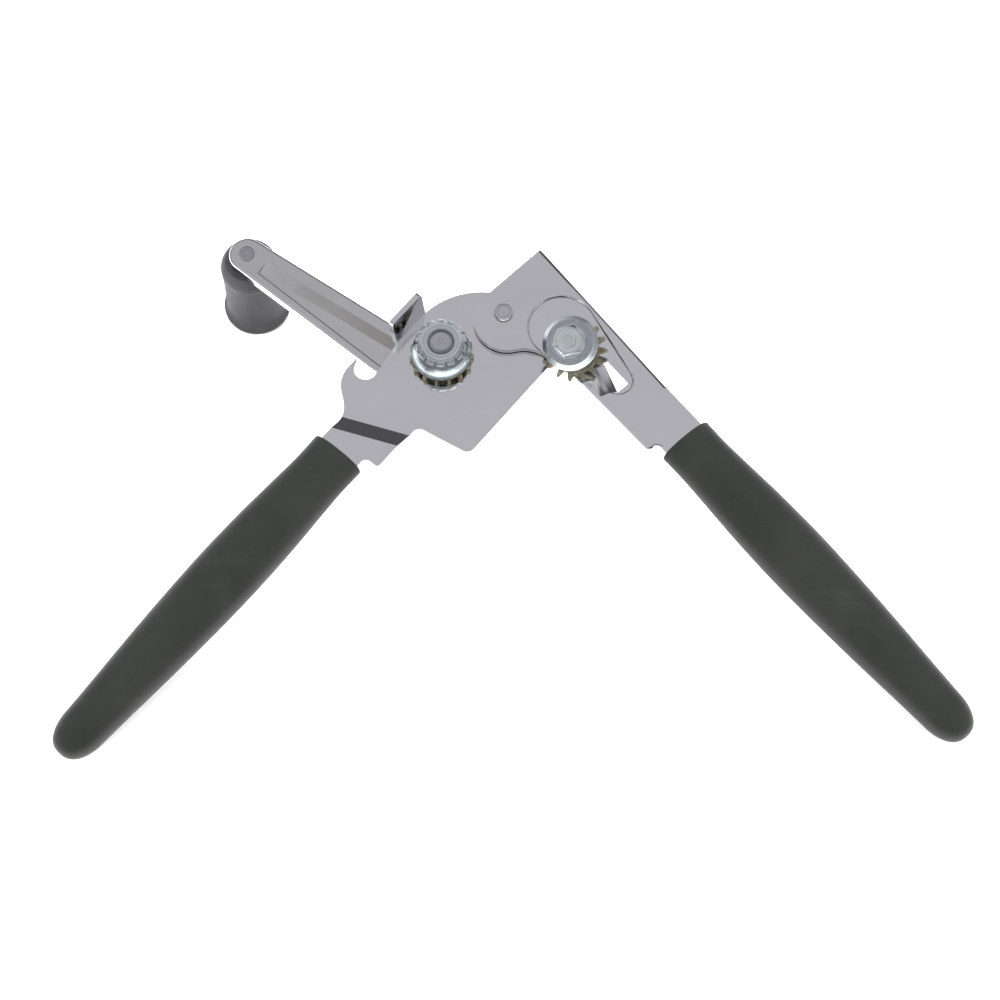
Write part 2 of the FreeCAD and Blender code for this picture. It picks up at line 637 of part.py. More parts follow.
def feed_collar():
    top = FEED_FOOT
    flank = "(collar_height * 0.16)"
    return turned_piece("feed_collar", FEED_AXIS, [
        ("shaft_radius", GEAR_TOP),
        ("sleeve_radius", GEAR_TOP),
        ("sleeve_radius", COLLAR_FOOT),
        ("collar_radius", COLLAR_FOOT),
        ("collar_radius", f"{COLLAR_FOOT} + {flank}"),
        ("collar_waist", f"{top} - {flank}", "collar_height", -1),
        ("collar_waist", top),
        ("shaft_radius", top),
    ])


def feed_wheel():
    """Toothed wheel that grips the can rim, bevelled towards its face."""
    body = new_body("feed_wheel")
    sink = "(feed_sink_radius - shaft_radius)"
    revolve(body, "profile", [
        ("shaft_radius", FEED_FOOT),
        ("feed_radius - feed_notch / 3", FEED_FOOT),
        ("feed_radius", f"{FEED_FOOT} + feed_notch / 3"),
        ("feed_radius", f"{FEED_TOP} - feed_height * 0.45"),
        ("feed_face_radius", FEED_TOP),
        ("feed_sink_radius", FEED_TOP),
        ("shaft_radius", f"{FEED_TOP} - {sink}"),
    ])
    notch = new_sketch(body, "notch", lift=FEED_TOP)
    open_half = "(feed_radius * 180 / feed_teeth * pi / 180 * 0.62)"
    draw_outline(notch, [
        ("feed_radius - feed_notch", "-feed_notch / 6"),
        ("feed_radius + feed_notch", f"-{open_half}"),
        ("feed_radius + feed_notch", open_half),
        ("feed_radius - feed_notch", "feed_notch / 6"),
    ])
    one_notch = pocket(body, "notch_cut", notch, "feed_height * 2")
    polar(body, "notches", one_notch, "feed_teeth")
    body.Placement = FEED_AXIS
    return body


def crank_shaft():
    foot = "(-crank_level - crank_sheet - crank_washer_height)"
    head = f"({foot} - shaft_head_height)"
    edge = "shaft_head_height / 2"
    step = f"({FEED_TOP} - feed_sink_radius + shaft_radius)"
    return turned_piece("crank_shaft", FEED_AXIS, [
        ("0", head),
        (f"shaft_head_radius - {edge}", head),
        ("shaft_head_radius", f"{head} + {edge}", edge, 1),
        ("shaft_head_radius", foot),
        ("shaft_radius", foot),
        ("shaft_radius", step),
        ("shaft_end_radius", step),
        ("shaft_end_radius", FEED_TOP),
        ("0", FEED_TOP),
    ])


# ---------------------------------------------------------------- crank and knob
def crank_steps(inset):
    """Outline of the crank arm, or of its hollow when inset is the sheet thickness."""
    hub = f"(crank_hub_radius - {inset})"
    tip = f"(crank_tip_radius - {inset})"
    upper = f"(crank_upper_side - {inset})"
    slope = "asin((crank_belly_y - crank_tip_radius) / crank_length)"
    return [
        ("0", f"-{hub}", hub, 1),
        (f"sqrt({hub} * {hub} - {upper} * {upper})", f"-{upper}", hub, 1),
        ("crank_length", f"-{tip}"),
        (f"crank_length + {tip}", "0", tip, 1),
        (f"crank_length + {tip} * sin({slope})", f"{tip} * cos({slope})", tip, 1),
        ("crank_belly_x", f"crank_belly_y - {inset}"),
        ("0", hub),
        (f"-{hub}", "0", hub, 1),
    ]


def crank_arm():
    """Pressed channel: flat face, walls turned back all round and a pressed panel."""
    body = new_body("crank_arm")
    outline = new_sketch(body, "outline", lift="-crank_level - crank_wall")
    draw_outline(outline, crank_steps("0"))
    blank = pad(body, "blank", outline, "crank_wall")
    belly = corners(blank, [("crank_belly_x", "crank_belly_y")], -100, 100)
    blank = dress(body, "Fillet", "belly", blank, belly, "crank_tip_radius")
    face = edges_where(blank, lambda edge: abs(edge.BoundBox.Center.z + size("crank_level")) < 0.01
                       and edge.BoundBox.ZLength < 0.01)
    dress(body, "Fillet", "pressed_edge", blank, face, "crank_sheet * 0.6")
    hollow = new_sketch(body, "hollow", lift="-crank_level - crank_wall")
    draw_outline(hollow, crank_steps("crank_sheet"))
    pocket(body, "hollow_cut", hollow, "crank_wall - crank_sheet", reverse=True)

    floor = new_sketch(body, "panel", lift="-crank_level - panel_depth")
    draw_outline(floor, [
        ("panel_near", "panel_floor"),
        ("panel_far", "panel_floor"),
        ("panel_far", "panel_floor + panel_depth"),
        ("panel_near", "panel_lower"),
    ])
    panel = pocket(body, "panel_cut", floor, "2 * panel_depth", reverse=True)
    foot = size("(panel_floor + panel_depth + panel_lower) / 2")
    lower = edges_where(panel, lambda edge: abs(edge.BoundBox.Center.z + size("crank_level")) < 0.01
                        and edge.BoundBox.XLength > 30 and abs(edge.BoundBox.Center.y - foot) < 0.1)
    dress(body, "Fillet", "panel_edge", panel, lower, "panel_edge")
    fall = math.degrees(math.atan2(size("panel_depth"), size("panel_floor - panel_upper")))
    side = new_sketch(body, "panel_side", lift="-crank_level", shift=("0", "panel_upper"),
                      turn=FreeCAD.Rotation(V(1, 0, 0), -fall))
    run = "sqrt(panel_depth * panel_depth + (panel_floor - panel_upper) * (panel_floor - panel_upper))"
    draw_outline(side, [
        ("panel_near", "0"),
        ("panel_far", "0"),
        ("panel_far", run),
        ("panel_near", run),
    ])
    pocket(body, "panel_side_cut", side, "2 * panel_depth", reverse=True)
    holes = new_sketch(body, "holes")
    draw_circle(holes, "0", "0", "shaft_radius")
    draw_circle(holes, "crank_length", "0", "knob_pin_radius")
    pocket(body, "drilled", holes, midplane=True, through=True)
    body.Placement = CRANK
    return body


def knob_pin():
    top = "(-crank_level + knob_pin_head_height)"
    tail = f"(-{KNOB_FACE} - knob_length + knob_well_depth - side_gap - knob_washer_height)"
    end = f"({tail} - pin_tail_height)"
    edge = "knob_pin_head_height / 2"
    return turned_piece("knob_pin", KNOB_AXIS, [
        ("0", end),
        ("pin_tail_radius - pin_tail_height / 2", end),
        ("pin_tail_radius", f"{end} + pin_tail_height / 2", "pin_tail_height / 2", 1),
        ("pin_tail_radius", tail),
        ("knob_pin_radius", tail),
        ("knob_pin_radius", "-crank_level"),
        ("knob_pin_head_radius", "-crank_level"),
        ("knob_pin_head_radius", f"{top} - {edge}"),
        (f"knob_pin_head_radius - {edge}", top, edge, 1),
        ("0", top),
    ])


def knob():
    """Turned plastic knob: shoulder at the crank, nearly straight body, flared free end."""
    face = f"(-{KNOB_FACE})"
    end = f"({face} - knob_length)"
    well = f"({end} + knob_well_depth)"
    bore = "knob_pin_radius + running_gap"
    rim = "knob_rim_height / 2"
    return turned_piece("knob", KNOB_AXIS, [
        (bore, face),
        (bore, well),
        ("knob_well_radius", well),
        ("knob_well_radius", end),
        (f"knob_rim_radius - {rim}", end),
        ("knob_rim_radius", f"{end} + {rim}", rim, 1),
        ("knob_rim_radius", f"{end} + knob_rim_height"),
        ("knob_body_radius", f"{end} + knob_flare", "knob_flare", -1),
        ("knob_shoulder_radius", f"{face} - knob_shoulder"),
        ("knob_face_radius", face, "knob_shoulder * 1.2", 1),
    ])


# ---------------------------------------------------------------- cutter handle
def dish_steps():
    """Teardrop outline of the recess, in the sketch whose Y starts at its deep edge."""
    deep = "(dish_y - dish_radius)"
    run = "(dish_tip_x - dish_x)"
    rise = "(dish_tip_y - dish_y)"
    distance = f"sqrt({run} * {run} + {rise} * {rise})"
    bearing = f"atan({rise} / {run})"
    spread = f"asin((dish_radius - dish_tip_radius) / {distance})"
    upper = f"({bearing} + 90 deg - {spread})"
    lower = f"({bearing} - 90 deg + {spread})"

    def spot(x, y, radius, angle):
        return (f"{x} + {radius} * cos({angle})", f"{y} - {deep} + {radius} * sin({angle})")

    return [
        spot("dish_tip_x", "dish_tip_y", "dish_tip_radius", lower),
        spot("dish_tip_x", "dish_tip_y", "dish_tip_radius", upper) + ("dish_tip_radius", 1),
        spot("dish_x", "dish_y", "dish_radius", upper),
        spot("dish_x", "dish_y", "dish_radius", "180") + ("dish_radius", 1),
        spot("dish_x", "dish_y", "dish_radius", lower) + ("dish_radius", 1),
    ]


def cutter_plate():
    """Pressed plate with pivot lobe, back flange, dished recess and pierced window."""
    body = new_body("cutter_plate")
    tang_low = "(cutter_tang_mid - tang_width / 2)"
    tang_high = "(cutter_tang_mid + tang_width / 2)"
    reach = f"sqrt(pow(lobe_x - {RELIEF_X}; 2) + pow(lobe_y - {RELIEF_Y}; 2))"
    lobe = f"({reach} - {RELIEF_RADIUS})"
    share = f"({RELIEF_RADIUS} / {reach})"
    meet_x = f"({RELIEF_X} + (lobe_x - {RELIEF_X}) * {share})"
    meet_y = f"({RELIEF_Y} + (lobe_y - {RELIEF_Y}) * {share})"
    blank = new_sketch(body, "outline", lift="plate_gap")
    draw_outline(blank, [
        ("tang_end", tang_low),
        ("blade_far", tang_low),
        ("blade_far", "blade_side_far"),
        ("blade_near", "blade_side_near"),
        (f"{RELIEF_X} + {RELIEF_RADIUS} * cos(84)", f"{RELIEF_Y} + {RELIEF_RADIUS} * sin(84)"),
        (meet_x, meet_y, RELIEF_RADIUS, 1),
        ("lobe_x", f"lobe_y - {lobe}", lobe, -1),
        (f"lobe_x - {lobe}", "lobe_y", lobe, -1),
        ("butt_end", "flange_side_near"),
        ("flange_far", "flange_side_far"),
        (f"flange_far + flange_side_far - {tang_high}", tang_high),
        ("tang_end", tang_high),
    ])
    pad(body, "blank", blank, "cutter_sheet")
    flange = new_sketch(body, "flange", lift="plate_gap")
    draw_outline(flange, [
        ("butt_end", "flange_side_near"),
        ("flange_far", "flange_side_far"),
        ("flange_far", "flange_side_far - cutter_sheet"),
        (f"butt_end + (lobe_x - {lobe} - butt_end) * cutter_sheet / (flange_side_near - lobe_y)",
         "flange_side_near - cutter_sheet"),
    ])
    plate = pad(body, "flange_pad", flange, "flange_depth", reverse=True)
    plate = dress(body, "Fillet", "butt_corner", plate,
                  corners(plate, [("butt_end", "flange_side_near")], -10, 10), "flange_bend * 1.15")
    plate = dress(body, "Fillet", "neck_corner", plate,
                  corners(plate, [("blade_far", "blade_side_far")], -10, 10), "neck_corner")
    plate = dress(body, "Fillet", "mouth_corner", plate,
                  corners(plate, [("blade_far", tang_low)], -10, 10), "mouth_corner")

    def on_face(edge):
        box = edge.BoundBox
        return abs(box.Center.z - size(CUTTER_FACE)) < 0.01 and box.ZLength < 0.01

    bevel = edges_where(plate, lambda edge: on_face(edge) and edge.BoundBox.XLength > 30
                        and edge.BoundBox.Center.y < size("blade_side_far + 1")
                        and edge.BoundBox.Center.x < size("blade_far"))
    dress(body, "Chamfer", "bevel", plate, bevel, "blade_bevel")

    fold_turn = size("atan((flange_side_far - flange_side_near) / (flange_far - butt_end))")
    fold = new_sketch(body, "fold", "YZ_Plane", lift="flange_far", shift=("flange_side_far", "0"),
                      turn=FreeCAD.Rotation(V(0, 1, 0), fold_turn))
    draw_outline(fold, [
        ("-flange_bend", CUTTER_FACE),
        ("0", f"{CUTTER_FACE} - flange_bend", "flange_bend", -1),
        ("flange_bend", f"{CUTTER_FACE} - flange_bend"),
        ("flange_bend", f"{CUTTER_FACE} + flange_bend"),
        ("-flange_bend", f"{CUTTER_FACE} + flange_bend"),
    ])
    pocket(body, "fold_cut", fold, through=True)

    dish = new_sketch(body, "dish", lift=f"{CUTTER_FACE} - dish_depth",
                      shift=("0", "dish_y - dish_radius"),
                      turn=FreeCAD.Rotation(V(1, 0, 0), size("dish_slope")))
    draw_outline(dish, dish_steps())
    before = [edge.BoundBox.Center for edge in body.Tip.Shape.Edges]
    plate = pocket(body, "dish_cut", dish, "2 * cutter_sheet", reverse=True)
    rim = edges_where(plate, lambda edge: on_face(edge)
                      and min((edge.BoundBox.Center - spot).Length for spot in before) > 0.01)
    dress(body, "Fillet", "dish_rim", plate, rim, "dish_edge")

    window_mid = "(window_near + window_far) / 2"
    fall_near = "window_mid_y - tan(window_turn) * (window_far - window_near) / 2"
    fall_far = "window_mid_y + tan(window_turn) * (window_far - window_near) / 2"
    window = new_sketch(body, "window", lift="plate_gap")
    draw_outline(window, [
        ("window_near", fall_near),
        ("window_far", fall_far),
        ("window_far", "window_side"),
        ("window_near", "window_side"),
    ])
    pocket(body, "window_cut", window, midplane=True, through=True)
    ramp = new_sketch(body, "ramp", "YZ_Plane", lift=window_mid, shift=("window_mid_y", "0"),
                      turn=FreeCAD.Rotation(V(0, 1, 0), size("window_turn")))
    draw_outline(ramp, [
        ("-window_ramp", f"{CUTTER_FACE} + cutter_sheet"),
        ("-window_ramp", f"{CUTTER_FACE} - dish_depth / 3"),
        ("0", "plate_gap", "window_ramp_bend", 1),
        ("0", f"{CUTTER_FACE} + cutter_sheet"),
    ])
    pocket(body, "ramp_cut", ramp, "window_far - window_near", midplane=True)

    room = new_sketch(body, "gear_room", shift=(CUTTER_X, CUTTER_Y), lift="cutter_gear_z", turn=AXLE_TURN)
    room.AttachmentOffset = AXLE_LOCAL * FreeCAD.Placement(
        V(0, 0, -size("cutter_gear_height / 2 + gear_pocket_gap")), FreeCAD.Rotation())
    draw_circle(room, "0", "0", f"{TIP_RADIUS} + 2 * gear_pocket_gap")
    pocket(body, "gear_room_cut", room, "cutter_gear_height", reverse=True)

    boss = new_sketch(body, "boss", turn=AXLE_TURN)
    boss.AttachmentOffset = AXLE_LOCAL
    draw_circle(boss, "0", "0", "boss_radius")
    pocket(body, "boss_hole", boss, midplane=True, through=True)
    pivot = new_sketch(body, "pivot")
    draw_circle(pivot, "0", "0", "pivot_radius + running_gap")
    pocket(body, "pivot_hole", pivot, midplane=True, through=True)
    body.Placement = CUTTER
    return body


def tilted_rod(name, radius, high, bore=None):
    """Rod on the tilted cutter axle line, trimmed flush with the underside of the plate."""
    body = new_body(name)
    end = new_sketch(body, "section", turn=AXLE_TURN)
    end.AttachmentOffset = AXLE_LOCAL * FreeCAD.Placement(V(0, 0, size(high)), FreeCAD.Rotation())
    draw_circle(end, "0", "0", radius)
    if bore:
        draw_circle(end, "0", "0", bore)
    pad(body, "rod", end, f"({high}) + 2 * cutter_gear_z", reverse=True)
    trim = new_sketch(body, "trim", lift="plate_gap")
    draw_circle(trim, CUTTER_X, CUTTER_Y, "3 * boss_radius")
    pocket(body, "trimmed", trim, "3 * cutter_gear_z")
    body.Placement = CUTTER
    return body


def cutter_sleeve():
    bore = "axle_radius + running_gap"
    half = "(cutter_gear_height / 2)"
    return turned_piece("cutter_sleeve", AXLE, [
        (bore, f"-{half}"),
        ("seat_radius", f"-{half}"),
        ("seat_radius", half),
        ("sleeve_radius", half),
        ("sleeve_radius", "wheel_height"),
        ("seat_radius", "wheel_height"),
        ("seat_radius", WHEEL_TOP),
        (bore, WHEEL_TOP),
    ])


def cutter_wheel():
    """Cutting wheel: sharp far edge, bevel and a flat face towards the nut."""
    return turned_piece("cutter_wheel", AXLE, [
        ("seat_radius", "wheel_height"),
        ("wheel_radius", "wheel_height"),
        ("wheel_radius", "wheel_height + side_gap"),
        ("wheel_face_radius", WHEEL_TOP),
        ("seat_radius", WHEEL_TOP),
    ])


def cutter_nut():
    """Hexagon nut with its outer corners turned off."""
    body = new_body("cutter_nut")
    corner = "(nut_flats / 2 / cos(30))"
    hexagon = new_sketch(body, "hexagon", lift=NUT_FOOT)
    steps = [(f"{corner} * cos({60 * k})", f"{corner} * sin({60 * k})") for k in range(6)]
    draw_outline(hexagon, steps)
    draw_circle(hexagon, "0", "0", "axle_radius")
    pad(body, "block", hexagon, "nut_height")
    top = f"({NUT_FOOT} + nut_height)"
    cut = new_sketch(body, "corner_cut", "XZ_Plane")
    draw_outline(cut, [
        ("nut_flats * 0.48", top),
        ("nut_flats", f"{top} - nut_flats * 0.3"),
        ("nut_flats", f"{top} + nut_height"),
        ("nut_flats * 0.48", f"{top} + nut_height"),
    ])
    groove = body.newObject("PartDesign::Groove", "cutter_nut_corners")
    groove.Profile = cut
    groove.ReferenceAxis = (cut, ["V_Axis"])
    groove.Angle = 360
    doc.recompute()
    body.Placement = AXLE
    return body


# ---------------------------------------------------------------- assembly
def mesh_turns():
    """Turns of the two gears that put a tooth of one between two teeth of the other when closed."""
    closed = spin(-size("close_travel"))
    cutter_axle = closed * AXLE
    towards = FEED_AXIS.Base - cutter_axle.Base
    local = cutter_axle.Rotation.inverted().multVec(towards)
    cutter_turn = math.degrees(math.atan2(local.y, local.x))
    feed_turn = math.degrees(math.atan2(-towards.y, -towards.x)) + 180 / size("teeth")
    return feed_turn, cutter_turn


FEED_TURN, CUTTER_TURN = mesh_turns()
GEAR_HALF = "(cutter_gear_height / 2)"
BOSS_TOP = f"(-{GEAR_HALF} - side_gap - spring_washer_height)"
BUSH_BACK = "(-drive_sheet - bush_flange_height)"
CRANK_FLOOR = "(-crank_level - crank_sheet)"
WELL_FLOOR = f"(-{KNOB_FACE} - knob_length + knob_well_depth)"

pieces = [
    drive_plate(),
    grip("drive_grip", DRIVE, "drive_tang_mid", "drive_sheet"),
    pivot_rivet(),
    ring("pivot_washer", FreeCAD.Placement(), "pivot_radius", "pivot_washer_radius", "0", "plate_gap"),
    drive_bush(),
    ring("thrust_washer", FEED_AXIS, "shaft_radius + running_gap", "bush_flange_radius", "0", GEAR_FOOT),
    gear("drive_gear", FEED_AXIS * spin(FEED_TURN), GEAR_FOOT, "drive_gear_height", "shaft_radius"),
    feed_collar(),
    feed_wheel(),
    crank_shaft(),
    cone_washer("crank_spring_washer", FEED_AXIS, "shaft_radius", "hub_sleeve_radius",
                f"{BUSH_BACK} - side_gap - wave_height", f"{BUSH_BACK} - side_gap"),
    ring("crank_spacer", FEED_AXIS, "shaft_radius", "hub_sleeve_radius",
         "-crank_level", f"{BUSH_BACK} - side_gap - wave_height"),
    crank_arm(),
    ring("crank_washer", FEED_AXIS, "shaft_radius", "crank_washer_radius",
         f"{CRANK_FLOOR} - crank_washer_height", CRANK_FLOOR),
    knob_pin(),
    ring("knob_spacer", KNOB_AXIS, "knob_pin_radius", "knob_spacer_radius",
         f"-{KNOB_FACE} + side_gap", CRANK_FLOOR),
    knob(),
    ring("knob_washer", KNOB_AXIS, "knob_pin_radius", "knob_washer_radius",
         f"{WELL_FLOOR} - side_gap - knob_washer_height", f"{WELL_FLOOR} - side_gap"),
    cutter_plate(),
    grip("cutter_grip", CUTTER, "cutter_tang_mid", "cutter_sheet"),
    tilted_rod("cutter_boss", "boss_radius", BOSS_TOP, "axle_radius"),
    tilted_rod("cutter_axle", "axle_radius", f"{NUT_FOOT} + nut_height + axle_stand"),
    cone_washer("cutter_spring_washer", AXLE, "axle_radius", "boss_radius",
                BOSS_TOP, f"{BOSS_TOP} + spring_washer_height"),
    gear("cutter_gear", AXLE * spin(CUTTER_TURN), f"-{GEAR_HALF}", "cutter_gear_height", "seat_radius"),
    cutter_sleeve(),
    cutter_wheel(),
    ring("wheel_washer", AXLE, "axle_radius", "wheel_washer_radius",
         f"{WHEEL_TOP} + side_gap", NUT_FOOT),
    cutter_nut(),
]
doc.recompute()

# The origin moves to the centre of the underside of the whole opener.
whole = FreeCAD.BoundBox()
for piece in pieces:
    whole.add(piece.Shape.optimalBoundingBox(False))
to_origin = FreeCAD.Placement(V(-whole.Center.x, -whole.Center.y, -whole.ZMin), FreeCAD.Rotation())
for piece in pieces:
    piece.Placement = to_origin * piece.Placement
doc.recompute()

faulty = [item.Name for item in doc.Objects if {"Invalid", "Error"} & set(item.State)]
if faulty:
    raise RuntimeError(f"features failed: {faulty}")
os.makedirs("parts", exist_ok=True)
for piece in pieces:
    if piece.Shape.isNull() or not piece.Shape.isValid():
        raise RuntimeError(f"{piece.Label} has no valid solid")
    piece.Shape.exportStep(f"parts/{piece.Label}.step")

for label, place in (("pivot", FreeCAD.Placement()), ("crank shaft", FEED_AXIS),
                     ("knob pin", KNOB_AXIS), ("cutter axle", AXLE)):
    base = (to_origin * place).Base
    axis = place.Rotation.multVec(Z_AXIS)
    print(f"{label}: through {base.x:.3f} {base.y:.3f} {base.z:.3f}, along "
          f"{axis.x:.5f} {axis.y:.5f} {axis.z:.5f}")
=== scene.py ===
# %% [markdown]
# # A hand-crank can opener
#
# The opener has two sleeved handles that pivot like pliers. The left one carries a toothed
# feed wheel on the crank shaft, the right one carries a cutting wheel on a tilted axle, and
# a gear under each keeps them in step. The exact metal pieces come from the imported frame,
# in metres and already in place. This lesson adds the soft sleeves and every finish.

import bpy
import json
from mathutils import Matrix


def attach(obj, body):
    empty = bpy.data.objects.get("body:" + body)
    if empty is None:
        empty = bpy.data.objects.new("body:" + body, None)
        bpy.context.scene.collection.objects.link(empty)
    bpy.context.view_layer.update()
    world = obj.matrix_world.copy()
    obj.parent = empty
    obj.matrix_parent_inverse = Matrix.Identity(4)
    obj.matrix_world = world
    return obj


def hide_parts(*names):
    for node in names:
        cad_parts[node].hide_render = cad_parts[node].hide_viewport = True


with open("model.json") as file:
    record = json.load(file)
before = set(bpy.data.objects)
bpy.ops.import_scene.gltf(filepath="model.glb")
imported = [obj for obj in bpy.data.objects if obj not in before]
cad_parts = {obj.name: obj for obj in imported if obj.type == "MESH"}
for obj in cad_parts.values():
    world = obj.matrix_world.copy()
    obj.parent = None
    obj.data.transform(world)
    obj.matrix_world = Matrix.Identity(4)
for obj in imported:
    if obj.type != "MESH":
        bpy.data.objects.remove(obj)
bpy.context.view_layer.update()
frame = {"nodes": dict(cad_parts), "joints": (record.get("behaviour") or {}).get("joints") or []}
print("nodes:", len(frame["nodes"]))

# %% Modules and short names
import json
import math
import bmesh
import bpy
from mathutils import Matrix, Vector

MM = 0.001
nodes = frame["nodes"]
joints = {joint["name"]: joint for joint in frame["joints"]}
pivot = Vector(joints["handle_pivot"]["pos_m"])
shaft = Vector(joints["crank_spin"]["pos_m"])
knob_pin = Vector(joints["knob_spin"]["pos_m"])
axle = Vector(joints["cutter_spin"]["pos_m"])
axle_way = Vector(joints["cutter_spin"]["axis"])
print("pivot", tuple(round(v, 4) for v in pivot))

# %% [markdown]
# ## A notebook's way to write shader trees
#
# Every finish is a small tree of nodes. Three helpers keep the cells short: one adds a node
# and fills its sockets, one opens a new material, and one opens a node group with named
# sockets. A link is made when the value given is a socket, and a plain number is typed in.

# %% Helpers for shader trees
def fill(tree, socket, value):
    """Link a socket to another one, or type a plain value into it."""
    if isinstance(value, bpy.types.NodeSocket):
        tree.links.new(value, socket)
    else:
        socket.default_value = value


def add(tree, kind, settings=None, **sockets):
    """Add a node. Sockets are named in lower case with _ for a blank, or in0, in1 by number."""
    node = tree.nodes.new(kind)
    for name, value in (settings or {}).items():
        setattr(node, name, value)
    for name, value in sockets.items():
        if name.startswith("in") and name[2:].isdigit():
            fill(tree, node.inputs[int(name[2:])], value)
            continue
        wanted = name.replace("_", " ").lower()
        socket = next(item for item in node.inputs if item.name.lower() == wanted and item.enabled)
        fill(tree, socket, value)
    return node


def math_node(tree, operation, first, second=0.0):
    return add(tree, "ShaderNodeMath", {"operation": operation}, in0=first, in1=second).outputs[0]


def vector_node(tree, operation, first, second=(0.0, 0.0, 0.0)):
    node = add(tree, "ShaderNodeVectorMath", {"operation": operation}, in0=first, in1=second)
    return node.outputs["Value"] if operation in ("DOT_PRODUCT", "LENGTH") else node.outputs["Vector"]


def ramp(tree, value, low, high, to_low=0.0, to_high=1.0):
    """Stretch a value between two limits, clamped at both ends."""
    node = add(tree, "ShaderNodeMapRange", {"clamp": True}, value=value, from_min=low,
               from_max=high, to_min=to_low, to_max=to_high)
    return node.outputs["Result"]


def noise(tree, vector, scale, detail=2.0, roughness=0.5, distortion=0.0):
    node = add(tree, "ShaderNodeTexNoise", vector=vector, scale=scale, detail=detail,
               roughness=roughness, distortion=distortion)
    return node.outputs["Fac"]


def blend_colors(tree, share, first, second):
    node = add(tree, "ShaderNodeMix", {"data_type": "RGBA"})
    fill(tree, node.inputs[0], share)
    fill(tree, node.inputs[6], first)
    fill(tree, node.inputs[7], second)
    return node.outputs[2]


def new_material(name):
    """A material with one Principled shader, and the object coordinates all finishes use."""
    material = bpy.data.materials.new(name)
    material.use_nodes = True
    tree = material.node_tree
    tree.nodes.clear()
    output = tree.nodes.new("ShaderNodeOutputMaterial")
    shader = tree.nodes.new("ShaderNodeBsdfPrincipled")
    tree.links.new(shader.outputs[0], output.inputs["Surface"])
    place = tree.nodes.new("ShaderNodeTexCoord").outputs["Object"]
    return material, tree, shader, place


def new_group(name, inputs, outputs):
    """A node group. inputs: name to (socket kind, default); outputs: name to socket kind."""
    group = bpy.data.node_groups.new(name, "ShaderNodeTree")
    for label, (kind, default) in inputs.items():
        socket = group.interface.new_socket(name=label, in_out="INPUT", socket_type=kind)
        if default is not None:
            socket.default_value = default
    for label, kind in outputs.items():
        group.interface.new_socket(name=label, in_out="OUTPUT", socket_type=kind)
    start = group.nodes.new("NodeGroupInput")
    end = group.nodes.new("NodeGroupOutput")
    return group, start.outputs, end.inputs


def use_group(tree, group, **sockets):
    node = tree.nodes.new("ShaderNodeGroup")
    node.node_tree = group
    for name, value in sockets.items():
        fill(tree, node.inputs[name.replace("_", " ")], value)
    return node.outputs


FLOAT = "NodeSocketFloat"
VECTOR = "NodeSocketVector"

# %% [markdown]
# ## Turning marks
#
# Wheels, washers, nuts and rivets are turned or punched, so light catches them in fine
# circles round their own axis. The group measures how far a point is from that axis and how
# far along it lies, and reads noise at those two numbers: the result is rings on flat faces
# and hoops on the round sides. The marks could be an image, but rings worked out from the
# axis stay sharp at any zoom and fit the tilted cutter axle too.

# %% Node group: turning marks
turning_marks, start, end = new_group(
    "turning marks",
    {"Place": (VECTOR, None), "Axis Point": (VECTOR, (0.0, 0.0, 0.0)),
     "Axis Way": (VECTOR, (0.0, 0.0, 1.0)), "Fineness": (FLOAT, 9000.0)},
    {"Height": FLOAT, "Streak": FLOAT},
)
from_axis = vector_node(turning_marks, "SUBTRACT", start["Place"], start["Axis Point"])
along = vector_node(turning_marks, "DOT_PRODUCT", from_axis, start["Axis Way"])
lift = add(turning_marks, "ShaderNodeVectorMath", {"operation": "SCALE"}, in0=start["Axis Way"])
turning_marks.links.new(along, lift.inputs["Scale"])
flat = vector_node(turning_marks, "SUBTRACT", from_axis, lift.outputs[0])
radius = vector_node(turning_marks, "LENGTH", flat)
ring_place = add(turning_marks, "ShaderNodeCombineXYZ", x=radius, y=along).outputs[0]
fine = noise(turning_marks, ring_place, start["Fineness"], detail=3.0, roughness=0.7)
coarse_scale = math_node(turning_marks, "MULTIPLY", start["Fineness"], 0.16)
coarse = noise(turning_marks, ring_place, coarse_scale, detail=1.0)
turning_marks.links.new(fine, end["Height"])
turning_marks.links.new(coarse, end["Streak"])
print("group:", turning_marks.name)

# %% [markdown]
# ## Handling wear
#
# Plated metal picks up hairline scratches, soft smudges and small dull spots. One group makes
# the three masks at a given size, and each material decides what to do with them: on bright
# plate they shift tint and gloss a little, on rubber they show as pale dust.

# %% Node group: handling wear
handling_wear, start, end = new_group(
    "handling wear",
    {"Place": (VECTOR, None), "Scratch Size": (FLOAT, 260.0), "Smudge Size": (FLOAT, 55.0),
     "Speck Size": (FLOAT, 900.0), "Speck Share": (FLOAT, 0.12)},
    {"Scratches": FLOAT, "Smudges": FLOAT, "Specks": FLOAT},
)
scratch_masks = []
for turn, stretch in ((0.7, 0.03), (-0.35, 0.02)):
    mapping = add(handling_wear, "ShaderNodeMapping", vector=start["Place"],
                  rotation=(0.0, 0.0, turn), scale=(stretch, 1.0, 1.0))
    threads = noise(handling_wear, mapping.outputs[0], start["Scratch Size"], detail=4.0,
                    roughness=0.65)
    scratch_masks.append(ramp(handling_wear, threads, 0.60, 0.70))
scratches = math_node(handling_wear, "MAXIMUM", scratch_masks[0], scratch_masks[1])
smudges = noise(handling_wear, start["Place"], start["Smudge Size"], detail=3.0, roughness=0.55,
                distortion=0.6)
dots = add(handling_wear, "ShaderNodeTexVoronoi", {"feature": "F1"}, vector=start["Place"],
           scale=start["Speck Size"]).outputs["Distance"]
speck_field = noise(handling_wear, start["Place"], 210.0, detail=2.0)
speck_size = math_node(handling_wear, "MULTIPLY", speck_field, start["Speck Share"])
specks = math_node(handling_wear, "LESS_THAN", dots, speck_size)
handling_wear.links.new(scratches, end["Scratches"])
handling_wear.links.new(smudges, end["Smudges"])
